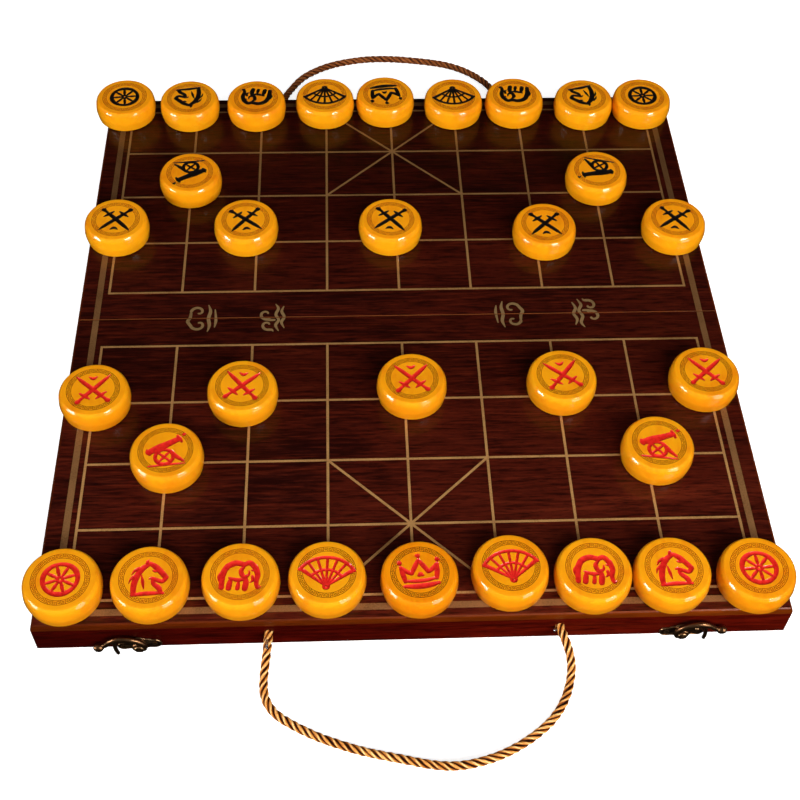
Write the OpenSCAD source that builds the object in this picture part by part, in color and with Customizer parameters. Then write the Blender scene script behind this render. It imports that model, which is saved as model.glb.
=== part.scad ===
// Folding chess box. It lies open as the playing board: two trays, face up,
// hinged at the seam along X. Millimetres, +Z up, the table is z = 0, and the
// origin is below the middle of the board. The front half lies towards -Y.

/* [Board] */
// Width of the board across the files
board_w = 492; // [480:1:520]
// Length of one half, from the seam to its end face
half_len = 260.5; // [258:0.5:275]
// Thickness of the playing panel
panel_t = 7; // [5:0.5:9]
// Height of the rails under the panel
rail_h = 22.4; // [20:0.2:30]
// Thickness of the rails
rail_t = 12; // [12:0.5:16]
// Bevel on the panel's arris over the end rails
arris = 1; // [0.5:0.1:1.5]
// How far the panel's rounded side edges draw in at the top
edge_in = 3.3; // [1:0.1:4]
// Height of the panel's rounded side edges
edge_h = 6; // [2:0.1:6.5]
// Gap between the halves at the seam
seam_gap = 0.5; // [0.4:0.1:0.8]

/* [Grid] */
// Distance between files, along X
file_pitch = 56; // [54:0.1:57]
// Distance between ranks, along Y
rank_pitch = 53.9; // [52:0.1:55]
// Width of the river, along Y
river_w = 54.7; // [52:0.1:56]

/* [Playing pieces] */
// Largest diameter of a playing piece
piece_d = 51; // [44:0.1:51]
// Diameter of a piece's flat faces
piece_face_d = 46.8; // [40:0.1:47]
// Height of a piece
piece_h = 18.5; // [14:0.1:20]

/* [Hinges] */
// Distance of each hinge's middle from the middle of the board
hinge_x = 150; // [100:1:190]
// Length of a hinge along its pin
hinge_len = 40; // [30:1:50]
// Outer radius of the knuckles
knuckle_r = 1.4; // [1.3:0.05:1.4]
// Radius of the hinge pins
pin_r = 0.6; // [0.5:0.05:0.7]

/* [Latches] */
// Distance of the left latch's pivot from the middle of the board
latch_left_x = 178.8; // [150:0.1:185]
// Distance of the right latch's pivot from the middle of the board
latch_right_x = 175.8; // [150:0.1:185]
// Radius of the latch rivets
rivet_r = 1.5; // [1.2:0.1:1.6]
// How far the left hook is raised from level, in degrees
left_raise = 0; // [0:1:15]
// How far the right hook is raised from level, in degrees
right_raise = 9;  // [0:1:15]
// How far the left latch's plate is turned, in degrees
left_plate_turn = -6; // [-6:1:0]

/* [Rope handles] */
// Diameter of the rope
rope_d = 6; // [4:0.5:6]
// Height of the rope holes above the table
hole_z = 15.5; // [12:0.5:17]

/* [Hidden] */

// Colours of the finishes
ROSEWOOD = [0.27, 0.07, 0.04];
EDGE_WOOD = [0.42, 0.19, 0.06];
AMBER = [0.95, 0.62, 0.08];
AMBER_DEEP = [0.88, 0.55, 0.10];
BRASS = [0.72, 0.56, 0.28];
BRONZE = [0.36, 0.28, 0.19];
STEEL = [0.75, 0.75, 0.77];
GOLD_CORD = [0.80, 0.56, 0.30];
BROWN_CORD = [0.42, 0.25, 0.14];
FELT = [0.10, 0.09, 0.09];

axis_z = knuckle_r + 0.05;       // height of the hinge pin
rim_z = axis_z + 0.15;           // underside of the rails
panel_z = rim_z + rail_h;        // underside of the panel
top_z = panel_z + panel_t;       // playing surface
in_y = seam_gap / 2;             // inner face of a half
pivot_z = rim_z + 6;             // height of the latch pivots
hook_lift = 2.6;                 // distance of the hooks from the rail's face
stud_ring = 11.6;                // distance of the closed catch stud from the pivot
stud_drop = 11.3;                // how far the closed stud lies below the pivot
stud_out = sqrt(stud_ring * stud_ring - stud_drop * stud_drop);
stud_z = 2 * axis_z + stud_drop - pivot_z; // height of the catch studs on the back half
function latch_x(s) = s < 0 ? latch_left_x : latch_right_x;
foot_back_x = 215;
foot_front_x = 200;
foot_y = half_len - rail_t / 2;
hole_left = -95;
hole_right = 94.5;
swing_y = half_len + 4.3;        // the line that a rope handle swings about
$fn = 48;

// Routes of the rope handles, from their left hole to their right one
FRONT_ROUTE = [
  [-95, -262, 15.5], [-95.5, -269, 15], [-96.5, -279, 12.5], [-98, -291, 8.5],
  [-97, -302, 5.8], [-91, -311.5, 4.8], [-80, -319.5, 4.7], [-65, -327.5, 4.7],
  [-51, -333, 4.2], [-37, -337.5, 3.3], [-25, -340.5, 3.2], [-12.5, -343.5, 3.8],
  [0, -347, 4.6], [12, -349.2, 4.7], [24, -349.6, 4.7], [37, -347.4, 4.7],
  [49.5, -343.5, 4.7], [59.5, -339, 4.7], [69, -333.5, 4.7], [76, -328.5, 4.7],
  [84, -321.5, 4.8], [92, -311, 5], [97.5, -299, 6.2], [100, -287, 9.6],
  [99, -277, 13], [96.5, -268.5, 15.2], [94.5, -262, 15.5]
];
REAR_ROUTE = [
  [-95, 262, 15.5], [-95, 269, 15.2], [-94.5, 279, 12.8], [-94, 290, 9.2],
  [-90, 303, 6], [-79.5, 322.5, 4.8], [-66, 334.5, 4.7], [-51, 343.5, 4.2],
  [-34, 350, 3.3], [-17, 353, 3.5], [2, 351.5, 4.7], [21, 349.5, 4.7],
  [41.5, 346, 4.7], [58.5, 341, 4.7], [73, 333, 4.7], [84, 323.5, 4.8],
  [92.5, 313, 5], [96.5, 302.5, 6.2], [97.5, 290.5, 9.2], [96.5, 279, 13],
  [95, 269, 15.2], [94.5, 262, 15.5]
];

function unit(v) = v / norm(v);
function tangent(p, i) =
  i == 0 ? unit(p[1] - p[0]) :
  i == len(p) - 1 ? unit(p[i] - p[i - 1]) : unit(p[i + 1] - p[i - 1]);
function ring(p, i, r, n) =
  let (t = i == 0 || i == len(p) - 1 ? [0, sign(tangent(p, i)[1]), 0] : tangent(p, i),
       s = unit(cross(t, [0, 0, 1])), u = cross(s, t))
  [for (k = [0:n - 1]) p[i] + r * (cos(360 * k / n) * s + sin(360 * k / n) * u)];

// A round tube along a route
module tube(p, r, n = 10) {
  m = len(p);
  polyhedron(
    points = [for (i = [0:m - 1]) each ring(p, i, r, n)],
    faces = concat(
      [[for (k = [0:n - 1]) n - 1 - k]],
      [[for (k = [0:n - 1]) (m - 1) * n + k]],
      [for (i = [0:m - 2]) for (k = [0:n - 1])
        [i * n + k, i * n + (k + 1) % n, (i + 1) * n + (k + 1) % n, (i + 1) * n + k]]
    ), convexity = 6);
}

// Centre of a crossing: file 0 to 8 from the left, rank 0 to 9 from the front
function cross_x(f) = (f - 4) * file_pitch;
function cross_y(k) = k < 5 ? (k - 4) * rank_pitch - river_w / 2
                            : (k - 5) * rank_pitch + river_w / 2;

// A wood screw with a countersunk head, its head's face at z = 0, point down
module screw(len, r = 0.9, head_r = 1.9, head_h = 0.9) {
  rotate_extrude() polygon([[0, 0], [head_r, 0], [r, -head_h], [r, -len + 1.2], [0, -len]]);
}
module screw_hole(len, r = 0.94, head_r = 1.94, head_h = 0.9) {
  rotate_extrude() polygon([[0, 0.5], [head_r, 0.5], [head_r, 0], [r, -head_h - 0.02],
                            [r, -len - 0.1], [0, -len - 0.1]]);
}

// ---- the halves: each module is drawn for the back half, from y = in_y on

// Playing panel with rounded side edges and a bevelled arris
module panel() {
  w = board_w / 2;
  round = [for (a = [0:15:90]) [w - edge_in * (1 - cos(a)), top_z - edge_h * (1 - sin(a))]];
  intersection() {
    rotate([90, 0, 90]) translate([0, 0, -w]) linear_extrude(2 * w)
      polygon([[in_y, panel_z], [half_len, panel_z], [half_len, top_z - arris],
               [half_len - arris, top_z], [in_y + 0.4, top_z], [in_y, top_z - 0.4]]);
    translate([0, half_len + 1, 0]) rotate([90, 0, 0]) linear_extrude(half_len + 2)
      polygon(concat([[-w, panel_z], [w, panel_z]], round,
                     [for (i = [len(round) - 1:-1:0]) [-round[i][0], round[i][1]]]));
  }
}

module rail(x0, x1, y0, y1) {
  translate([x0, y0, rim_z]) cube([x1 - x0, y1 - y0, rail_h]);
}

// Outer rail with the rope holes, and the recesses that take the other half's feet
module end_rail(recess_x) {
  difference() {
    rail(-board_w / 2, board_w / 2, half_len - rail_t, half_len);
    for (x = [hole_left, hole_right])
      translate([x, half_len - rail_t - 1, hole_z]) rotate([-90, 0, 0])
        cylinder(r = rope_d / 2 + 0.1, h = rail_t + 2);
    for (s = [-1, 1]) translate([s * recess_x, foot_y, rim_z - 1])
      cylinder(r = 4.6, h = 3);
  }
}

function knuckle_x(i) = -hinge_len / 2 + i * hinge_len / 5;
function screw_xs() = [-hinge_len / 2 + 5, 0, hinge_len / 2 - 5];

// Inner rail with its grooves for the knuckles and beds for the leaves
module hinge_rail() {
  difference() {
    rail(-board_w / 2, board_w / 2, in_y, in_y + rail_t);
    for (s = [-1, 1]) translate([s * hinge_x, 0, 0]) {
      translate([-hinge_len / 2 - 0.6, 0, axis_z]) rotate([0, 90, 0])
        cylinder(r = knuckle_r + 0.25, h = hinge_len + 1.2);
      translate([-hinge_len / 2 - 0.1, -1, rim_z - 1]) cube([hinge_len + 0.2, 11.6, 1.85]);
      for (x = screw_xs()) translate([x, 6.5, rim_z]) rotate([180, 0, 0])
        screw_hole(8);
    }
  }
}

module side_rails() {
  for (s = [-1, 1])
    rail(s > 0 ? board_w / 2 - rail_t : -board_w / 2,
         s > 0 ? board_w / 2 : -board_w / 2 + rail_t,
         in_y + rail_t, half_len - rail_t);
}

// Hinge leaf with the knuckles named in ks
module leaves(ks) {
  for (s = [-1, 1]) translate([s * hinge_x, 0, 0]) difference() {
    union() {
      translate([-hinge_len / 2, knuckle_r + 0.25, rim_z]) cube([hinge_len, 8.8, 0.8]);
      for (k = ks) translate([knuckle_x(k) + 0.1, 0, 0]) {
        translate([0, 0, axis_z]) rotate([0, 90, 0])
          cylinder(r = knuckle_r, h = hinge_len / 5 - 0.2);
        translate([0, 0, rim_z]) cube([hinge_len / 5 - 0.2, 3, 0.8]);
      }
    }
    translate([-hinge_len, 0, axis_z]) rotate([0, 90, 0])
      cylinder(r = pin_r + 0.04, h = 2 * hinge_len);
    for (x = screw_xs()) translate([x, 6.5, rim_z]) rotate([180, 0, 0])
      screw_hole(8);
  }
}

module leaf_screws() {
  for (s = [-1, 1]) for (x = screw_xs())
    translate([s * hinge_x + x, 6.5, rim_z]) rotate([180, 0, 0]) screw(7.5);
}

module feet(x) {
  for (s = [-1, 1]) translate([s * x, foot_y, 0]) cylinder(r = 4, h = rim_z);
}

// Rope inside the hole, with its stopper knot behind the rail
module knots() {
  for (x = [hole_left, hole_right]) translate([x, 0, hole_z]) union() {
    translate([0, half_len - rail_t - 4.6, 0]) sphere(r = 5.2);
    translate([0, half_len - rail_t - 4.6, 0]) rotate([-90, 0, 0])
      cylinder(r = rope_d / 2, h = rail_t + 4.6);
  }
}

// ---- latch parts, drawn for the right hand side: u is outwards from the
// pivot, v is up, and z = 0 is the rail's face with +z away from it

LATCH_HOLES = [[-9.3, -2], [11.4, -2.6]];
module plate_shape() {
  union() {
    translate([-9.3, -2]) circle(r = 4.9);
    translate([-4.5, -1.2]) circle(r = 5.6);
    circle(r = 6.2);
    translate([6, -1.8]) circle(r = 4.8);
    translate([11.4, -2.6]) circle(r = 4);
    translate([-9.3, -5.4]) square([20, 7]);
  }
}
module latch_plate() {
  difference() {
    union() {
      linear_extrude(1.2) plate_shape();
      cylinder(r = 3.2, h = 2.3);
    }
    translate([0, 0, -1]) cylinder(r = rivet_r + 0.05, h = 4);
    for (p = LATCH_HOLES) translate([p[0], p[1], 1.2]) screw_hole(8);
  }
}
module rivet() {
  rotate_extrude() polygon([[0, 0], [rivet_r, 0], [rivet_r, 5.3], [3.4, 5.3], [3.2, 6],
                            [2.3, 6.7], [1, 7.1], [0, 7.15]]);
}

// Middle line and half width of the hook's arm, from the pivot to the ball,
// and of the prong that goes round the catch stud
ARM = [[-2.6, -2.6, 1.9], [-3.2, 0.6, 2.3], [-2.5, 4.4, 2.6], [0.3, 7.9, 2.7], [4.6, 10.3, 2.7],
       [9, 11.2, 2.6], [13.2, 10.9, 2.5], [17, 9, 2.3], [19.8, 6, 2.1], [22, 3.6, 2],
       [24.4, 2.4, 2.3]];
PRONG = [[14.6, 9.4, 1.4], [15.2, 6.5, 1.4], [15.6, 2.5, 1.4], [15.4, -3, 1.4], [14.8, -6.8, 1.3],
         [14.1, -9.2, 1.1]];
function line_dir(l, i) = unit([l[min(i + 1, len(l) - 1)][0] - l[max(i - 1, 0)][0],
                                l[min(i + 1, len(l) - 1)][1] - l[max(i - 1, 0)][1]]);
function line_side(l, i, s) = [l[i][0] - s * line_dir(l, i)[1] * l[i][2],
                               l[i][1] + s * line_dir(l, i)[0] * l[i][2]];
module bar(l) {
  polygon(concat([for (i = [0:len(l) - 1]) line_side(l, i, 1)],
                 [for (i = [len(l) - 1:-1:0]) line_side(l, i, -1)]));
}
module hook() {
  difference() {
    union() {
      cylinder(r = 5, h = 2.4);
      linear_extrude(2.4) bar(ARM);
      linear_extrude(2.4) bar(PRONG);
      translate([25.7, 1.9, 1.8]) sphere(r = 3.3);
    }
    translate([0, 0, -1]) cylinder(r = rivet_r + 0.06, h = 5);
  }
}

// Puts a latch part on the front face, s = 1 at the right and -1 at the left
module on_front(s, lift = 0) {
  translate([s * latch_x(s), -half_len - lift, pivot_z])
    rotate([90, 0, 0]) mirror([s < 0 ? 1 : 0, 0, 0]) children();
}
// The same for the plates, which were screwed on a little askew
module on_plate(s) {
  on_front(s) rotate([0, 0, s < 0 ? left_plate_turn : 0]) children();
}

module catch_shape() {
  union() {
    translate([-7, 0]) circle(r = 2.9);
    translate([7, 0]) circle(r = 2.9);
    circle(r = 3.1);
    translate([-7, -2.5]) square([14, 5]);
  }
}
module catch_plate() {
  difference() {
    union() {
      linear_extrude(1.2) catch_shape();
      cylinder(r = 1.5, h = 5.4);
      translate([0, 0, 5.3]) cylinder(r = 2.6, h = 1);
    }
    for (x = [-7, 7]) translate([x, 0, 1.2]) screw_hole(8);
  }
}
// Puts a catch part on the back face
module on_back(s) {
  translate([s * (latch_x(s) + stud_out), half_len, stud_z]) rotate([-90, 0, 0]) children();
}

// ---- nodes

module back_panel() { color(ROSEWOOD) panel(); }
module front_panel() { color(ROSEWOOD) mirror([0, 1, 0]) panel(); }

module back_end_rail() {
  color(ROSEWOOD) difference() {
    end_rail(foot_front_x);
    for (s = [-1, 1]) on_back(s) for (x = [-7, 7])
      translate([x, 0, 1.2]) screw_hole(8);
  }
}
module front_end_rail() {
  color(ROSEWOOD) difference() {
    mirror([0, 1, 0]) end_rail(foot_back_x);
    for (s = [-1, 1]) on_plate(s) for (p = LATCH_HOLES)
      translate([p[0], p[1], 1.2]) screw_hole(8);
  }
}
module back_hinge_rail() { color(ROSEWOOD) hinge_rail(); }
module front_hinge_rail() { color(ROSEWOOD) mirror([0, 1, 0]) hinge_rail(); }
module back_side_rails() { color(ROSEWOOD) side_rails(); }
module front_side_rails() { color(ROSEWOOD) mirror([0, 1, 0]) side_rails(); }

module hinge_leaves_back() { color(BRASS) leaves([0, 2, 4]); }
module hinge_leaves_front() { color(BRASS) mirror([0, 1, 0]) leaves([1, 3]); }
module hinge_pins() {
  color(STEEL) for (s = [-1, 1])
    translate([s * hinge_x - hinge_len / 2, 0, axis_z]) rotate([0, 90, 0]) union() {
      translate([0, 0, -0.3]) cylinder(r = pin_r, h = hinge_len + 0.6);
      translate([0, 0, -0.3]) cylinder(r = 1, h = 0.4);
      translate([0, 0, hinge_len - 0.1]) cylinder(r = 1, h = 0.4);
    }
}
module hinge_screws_back() { color(BRASS) leaf_screws(); }
module hinge_screws_front() { color(BRASS) mirror([0, 1, 0]) leaf_screws(); }

module latch_plates() { color(BRONZE) for (s = [-1, 1]) on_plate(s) latch_plate(); }
module latch_rivets() { color(BRONZE) for (s = [-1, 1]) on_front(s) rivet(); }
module latch_screws() {
  color(BRONZE) for (s = [-1, 1]) on_plate(s) for (p = LATCH_HOLES)
    translate([p[0], p[1], 1.2]) screw(7.5);
}
module latch_left_hook() {
  color(BRONZE) on_front(-1, hook_lift) rotate([0, 0, left_raise]) hook();
}
module latch_right_hook() {
  color(BRONZE) on_front(1, hook_lift) rotate([0, 0, right_raise]) hook();
}
module catch_plates() { color(BRONZE) for (s = [-1, 1]) on_back(s) catch_plate(); }
module catch_screws() {
  color(BRONZE) for (s = [-1, 1]) on_back(s) for (x = [-7, 7])
    translate([x, 0, 1.2]) screw(7.5);
}

module front_rope_handle() { color(GOLD_CORD) tube(FRONT_ROUTE, rope_d / 2); }
module rear_rope_handle() { color(BROWN_CORD) tube(REAR_ROUTE, rope_d / 2); }
module front_rope_knots() { color(GOLD_CORD) mirror([0, 1, 0]) knots(); }
module rear_rope_knots() { color(BROWN_CORD) knots(); }
// Wire pins that keep the front rope's ends from slipping back
module front_rope_pins() {
  color(STEEL) {
    translate([hole_right - 4.4, -263.6, hole_z]) rotate([0, 90, 0]) union() {
      cylinder(r = 1.7, h = 1.2);
      cylinder(r = 0.7, h = 6.5);
    }
    translate([-95.6, -267, hole_z + 2.2]) rotate([90, 0, 0]) cylinder(r = 0.9, h = 6);
  }
}

module feet_back() { color(FELT) feet(foot_back_x); }
module feet_front() { color(FELT) mirror([0, 1, 0]) feet(foot_front_x); }

// One playing piece: a barrel-sided disc standing at a crossing, moved off it
// by dx and dy as it was put down by hand
function barrel(t) = piece_d / 2
  - (piece_d - piece_face_d) / 2 * pow(abs(2 * t - 1), 2.2);
module piece(f, k, dx, dy, tone = AMBER) {
  color(tone) translate([cross_x(f) + dx, cross_y(k) + dy, top_z])
    rotate_extrude($fn = 96) polygon(concat(
      [[0, 0], [piece_face_d / 2 - 1.2, 0], [piece_face_d / 2 - 0.1, 0.3]],
      [for (i = [1:10]) [barrel(i / 12), piece_h * i / 12]],
      [[piece_face_d / 2 + 0.5, piece_h - 1.3], [piece_face_d / 2, piece_h - 0.75],
       [piece_face_d / 2 - 0.5, piece_h - 0.28], [piece_face_d / 2 - 1, piece_h - 0.06],
       [piece_face_d / 2 - 1.8, piece_h], [0, piece_h]]));
}

module red_chariot_left() piece(0, 0, -1.5, 5.5);
module red_horse_left() piece(1, 0, -2, 5.5);
module red_elephant_left() piece(2, 0, 0, 6.5);
module red_advisor_left() piece(3, 0, -0.5, 6.5);
module red_general() piece(4, 0, 3, 5, AMBER_DEEP);
module red_advisor_right() piece(5, 0, 6, 8.5);
module red_elephant_right() piece(6, 0, 3.8, 5);
module red_horse_right() piece(7, 0, -0.8, 4);
module red_chariot_right() piece(8, 0, -1.5, 2.5);
module red_cannon_left() piece(1, 2, 1.5, -2);
module red_cannon_right() piece(7, 2, 6, -3.5);
module red_soldier_1() piece(0, 3, 2.5, -1.5);
module red_soldier_2() piece(2, 3, -4.5, 0);
module red_soldier_3() piece(4, 3, 5, 4);
module red_soldier_4() piece(6, 3, 2, 5);
module red_soldier_5() piece(8, 3, -5.5, 6);
module black_chariot_left() piece(0, 9, -5.5, -1, AMBER_DEEP);
module black_horse_left() piece(1, 9, -6, -3, AMBER_DEEP);
module black_elephant_left() piece(2, 9, -4.5, -3.5, AMBER_DEEP);
module black_advisor_left() piece(3, 9, -1, -1, AMBER_DEEP);
module black_general() piece(4, 9, -4.5, 0.5, AMBER_DEEP);
module black_advisor_right() piece(5, 9, -1, -3, AMBER_DEEP);
module black_elephant_right() piece(6, 9, -3.5, -2.5, AMBER_DEEP);
module black_horse_right() piece(7, 9, 1, -5.5, AMBER_DEEP);
module black_chariot_right() piece(8, 9, -3.5, -5, AMBER_DEEP);
module black_cannon_left() piece(1, 7, 0.5, 9.5, AMBER_DEEP);
module black_cannon_right() piece(7, 7, 0, 7, AMBER_DEEP);
module black_soldier_1() piece(0, 6, 1.5, 9, AMBER_DEEP);
module black_soldier_2() piece(2, 6, -8, 7, AMBER_DEEP);
module black_soldier_3() piece(4, 6, -5, 6, AMBER_DEEP);
module black_soldier_4() piece(6, 6, 6, -1.5, AMBER_DEEP);
module black_soldier_5() piece(8, 6, -1, 2.5, AMBER_DEEP);

back_panel();
back_end_rail();
back_hinge_rail();
back_side_rails();
front_panel();
front_end_rail();
front_hinge_rail();
front_side_rails();
hinge_leaves_back();
hinge_leaves_front();
hinge_pins();
hinge_screws_back();
hinge_screws_front();
latch_plates();
latch_rivets();
latch_screws();
latch_left_hook();
latch_right_hook();
catch_plates();
catch_screws();
front_rope_handle();
front_rope_pins();
front_rope_knots();
rear_rope_handle();
rear_rope_knots();
feet_back();
feet_front();
red_chariot_left();
red_horse_left();
red_elephant_left();
red_advisor_left();
red_general();
red_advisor_right();
red_elephant_right();
red_horse_right();
red_chariot_right();
red_cannon_left();
red_cannon_right();
red_soldier_1();
red_soldier_2();
red_soldier_3();
red_soldier_4();
red_soldier_5();
black_chariot_left();
black_horse_left();
black_elephant_left();
black_advisor_left();
black_general();
black_advisor_right();
black_elephant_right();
black_horse_right();
black_chariot_right();
black_cannon_left();
black_cannon_right();
black_soldier_1();
black_soldier_2();
black_soldier_3();
black_soldier_4();
black_soldier_5();
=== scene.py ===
"""Folding chess box, open as a board: looks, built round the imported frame."""
import math

import bmesh
import bpy
import numpy as np
from mathutils import Matrix, Vector
from mathutils.geometry import delaunay_2d_cdt


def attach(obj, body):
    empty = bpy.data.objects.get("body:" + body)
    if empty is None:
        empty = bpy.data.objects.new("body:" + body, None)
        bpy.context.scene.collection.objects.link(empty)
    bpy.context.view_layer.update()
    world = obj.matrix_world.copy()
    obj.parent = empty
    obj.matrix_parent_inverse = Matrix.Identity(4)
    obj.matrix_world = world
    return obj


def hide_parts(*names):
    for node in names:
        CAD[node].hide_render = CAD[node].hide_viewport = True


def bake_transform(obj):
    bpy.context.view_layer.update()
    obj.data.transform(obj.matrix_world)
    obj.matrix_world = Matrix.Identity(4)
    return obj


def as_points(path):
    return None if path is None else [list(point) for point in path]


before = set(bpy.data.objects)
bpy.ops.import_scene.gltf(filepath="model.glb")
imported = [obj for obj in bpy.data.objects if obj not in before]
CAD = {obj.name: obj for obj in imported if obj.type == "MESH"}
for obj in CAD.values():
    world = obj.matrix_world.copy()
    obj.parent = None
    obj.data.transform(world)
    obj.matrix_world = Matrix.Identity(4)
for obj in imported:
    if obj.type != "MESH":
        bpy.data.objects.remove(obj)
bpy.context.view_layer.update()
scene = bpy.context.scene
scene.view_settings.view_transform = "Standard"
scene.view_settings.look = "None"
MM = 0.001
TOP = 31.0
END_Y = 260.5
HOLE_Z = 15.5
PIVOT_X = {-1: 178.8, 1: 175.8}
PIVOT_Z = 7.6
HOOK_LIFT = 2.6
PLATE_TURN = {-1: -6.0, 1: 0.0}
STUD_RING = 11.6
STUD_OUT = math.sqrt(STUD_RING ** 2 - 11.3 ** 2)
STUD_Z = 2 * 1.45 + 11.3 - PIVOT_Z

# ------------------------------------------------------------------ camera
lens = bpy.data.cameras.new("camera")
lens.sensor_width = 36.0
lens.lens = 58.41
cam = bpy.data.objects.new("camera", lens)
scene.collection.objects.link(cam)
cam.matrix_world = Matrix((
    (0.999085, 0.017138, -0.039195, -0.04043305),
    (-0.037784, 0.783141, -0.620695, -0.66744808),
    (0.020058, 0.621608, 0.783072, 0.76897785),
    (0, 0, 0, 1)))
scene.camera = cam

# ------------------------------------------------------------------ helpers


def spline(points, per=8, closed=False):
    """Catmull-Rom through rows of numbers."""
    p = np.asarray(points, float)
    n = len(p)
    out = []
    spans = n if closed else n - 1
    for i in range(spans):
        if closed:
            a, b, c, d = p[(i - 1) % n], p[i], p[(i + 1) % n], p[(i + 2) % n]
        else:
            a, b, c, d = p[max(i - 1, 0)], p[i], p[i + 1], p[min(i + 2, n - 1)]
        for k in range(per):
            t = k / per
            out.append(0.5 * (2 * b + (c - a) * t + (2 * a - 5 * b + 4 * c - d) * t * t
                              + (3 * b - a - 3 * c + d) * t ** 3))
    if not closed:
        out.append(p[-1])
    return np.array(out)


def even(path, step):
    """The same line with points a step apart."""
    d = np.r_[0, np.cumsum(np.linalg.norm(np.diff(path, axis=0), axis=1))]
    n = max(2, int(round(d[-1] / step)) + 1)
    s = np.linspace(0, d[-1], n)
    return np.stack([np.interp(s, d, path[:, k]) for k in range(path.shape[1])], axis=1)


def soften(path, times, lock=1):
    p = path.copy()
    for _ in range(times):
        q = p.copy()
        q[lock:-lock] = (p[lock - 1:-lock - 1] + 2 * p[lock:-lock] + p[lock + 1:len(p) - lock + 1]) / 4
        p = q
    return p


def frames(path):
    """Tangent, normal and binormal along a line, with no needless twist."""
    t = np.gradient(path, axis=0)
    t /= np.linalg.norm(t, axis=1)[:, None]
    n = np.zeros_like(t)
    start = np.cross(t[0], [0, 0, 1.0])
    n[0] = start / np.linalg.norm(start)
    for i in range(1, len(t)):
        v = n[i - 1] - t[i] * np.dot(n[i - 1], t[i])
        n[i] = v / np.linalg.norm(v)
    return t, n, np.cross(t, n)


def make(name, verts, faces, mats=(), index=None, smooth=35.0, collection=None):
    me = bpy.data.meshes.new(name)
    me.from_pydata([tuple(v) for v in verts], [], [tuple(f) for f in faces])
    for m in mats:
        me.materials.append(m)
    if index is not None:
        me.polygons.foreach_set("material_index", np.asarray(index, np.int32))
    me.validate()
    me.update()
    if smooth:
        me.shade_smooth()
        if smooth < 180:
            me.set_sharp_from_angle(angle=math.radians(smooth))
    ob = bpy.data.objects.new(name, me)
    scene.collection.objects.link(ob)
    return ob


def outward(ob):
    bm = bmesh.new()
    bm.from_mesh(ob.data)
    bmesh.ops.recalc_face_normals(bm, faces=bm.faces)
    bm.to_mesh(ob.data)
    bm.free()
    ob.data.update()
    return ob


def sweep_rings(rings, closed_ring=True, caps=True):
    """Verts and faces of a skin over rings of equal count."""
    n = len(rings[0])
    verts = [p for r in rings for p in r]
    faces = []
    for i in range(len(rings) - 1):
        for k in range(n if closed_ring else n - 1):
            a, b = i * n + k, i * n + (k + 1) % n
            faces.append((a, b, b + n, a + n))
    if caps:
        faces.append(tuple(range(n))[::-1])
        faces.append(tuple((len(rings) - 1) * n + k for k in range(n)))
    return verts, faces


def lathe(profile, n=48, centre=(0, 0, 0), caps=False):
    """Turns (radius, height) pairs round +Z. A radius of 0 closes an end."""
    verts, faces = [], []
    rows = []
    for r, z in profile:
        if r <= 1e-9:
            rows.append([len(verts)])
            verts.append((centre[0], centre[1], centre[2] + z))
        else:
            row = []
            for k in range(n):
                a = 2 * math.pi * k / n
                row.append(len(verts))
                verts.append((centre[0] + r * math.cos(a), centre[1] + r * math.sin(a), centre[2] + z))
            rows.append(row)
    for a, b in zip(rows, rows[1:]):
        for k in range(n):
            j = (k + 1) % n
            if len(a) == 1 and len(b) == 1:
                continue
            if len(a) == 1:
                faces.append((a[0], b[k], b[j]))
            elif len(b) == 1:
                faces.append((a[k], b[0], a[j]))
            else:
                faces.append((a[k], b[k], b[j], a[j]))
    return verts, faces


def add_mesh(store, verts, faces, mat=0):
    base = len(store["v"])
    store["v"].extend([tuple(v) for v in verts])
    store["f"].extend([tuple(base + i for i in f) for f in faces])
    store["m"].extend([mat] * len(faces))


def new_store():
    return {"v": [], "f": [], "m": []}


def from_store(name, st, mats, smooth=35.0, fix=True):
    ob = make(name, st["v"], st["f"], mats, st["m"], smooth)
    if fix:
        outward(ob)
        if smooth and smooth < 180:
            ob.data.set_sharp_from_angle(angle=math.radians(smooth))
    return ob


def remesh(ob, size, smooth_steps=2, angle=None):
    """Melts overlapping shapes into one cast skin, with the modifiers applied."""
    m = ob.modifiers.new("melt", "REMESH")
    m.mode = "VOXEL"
    m.voxel_size = size
    m.use_smooth_shade = True
    if smooth_steps:
        s = ob.modifiers.new("even", "SMOOTH")
        s.factor = 0.5
        s.iterations = smooth_steps
    dg = bpy.context.evaluated_depsgraph_get()
    me = bpy.data.meshes.new_from_object(ob.evaluated_get(dg), depsgraph=dg)
    mats = [m for m in ob.data.materials]
    ob.modifiers.clear()
    old = ob.data
    ob.data = me
    bpy.data.meshes.remove(old)
    if not me.materials:
        for m in mats:
            me.materials.append(m)
    me.shade_smooth()
    return ob


# ------------------------------------------------------------------ strokes: drawn shapes cut into or laid on a face


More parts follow.
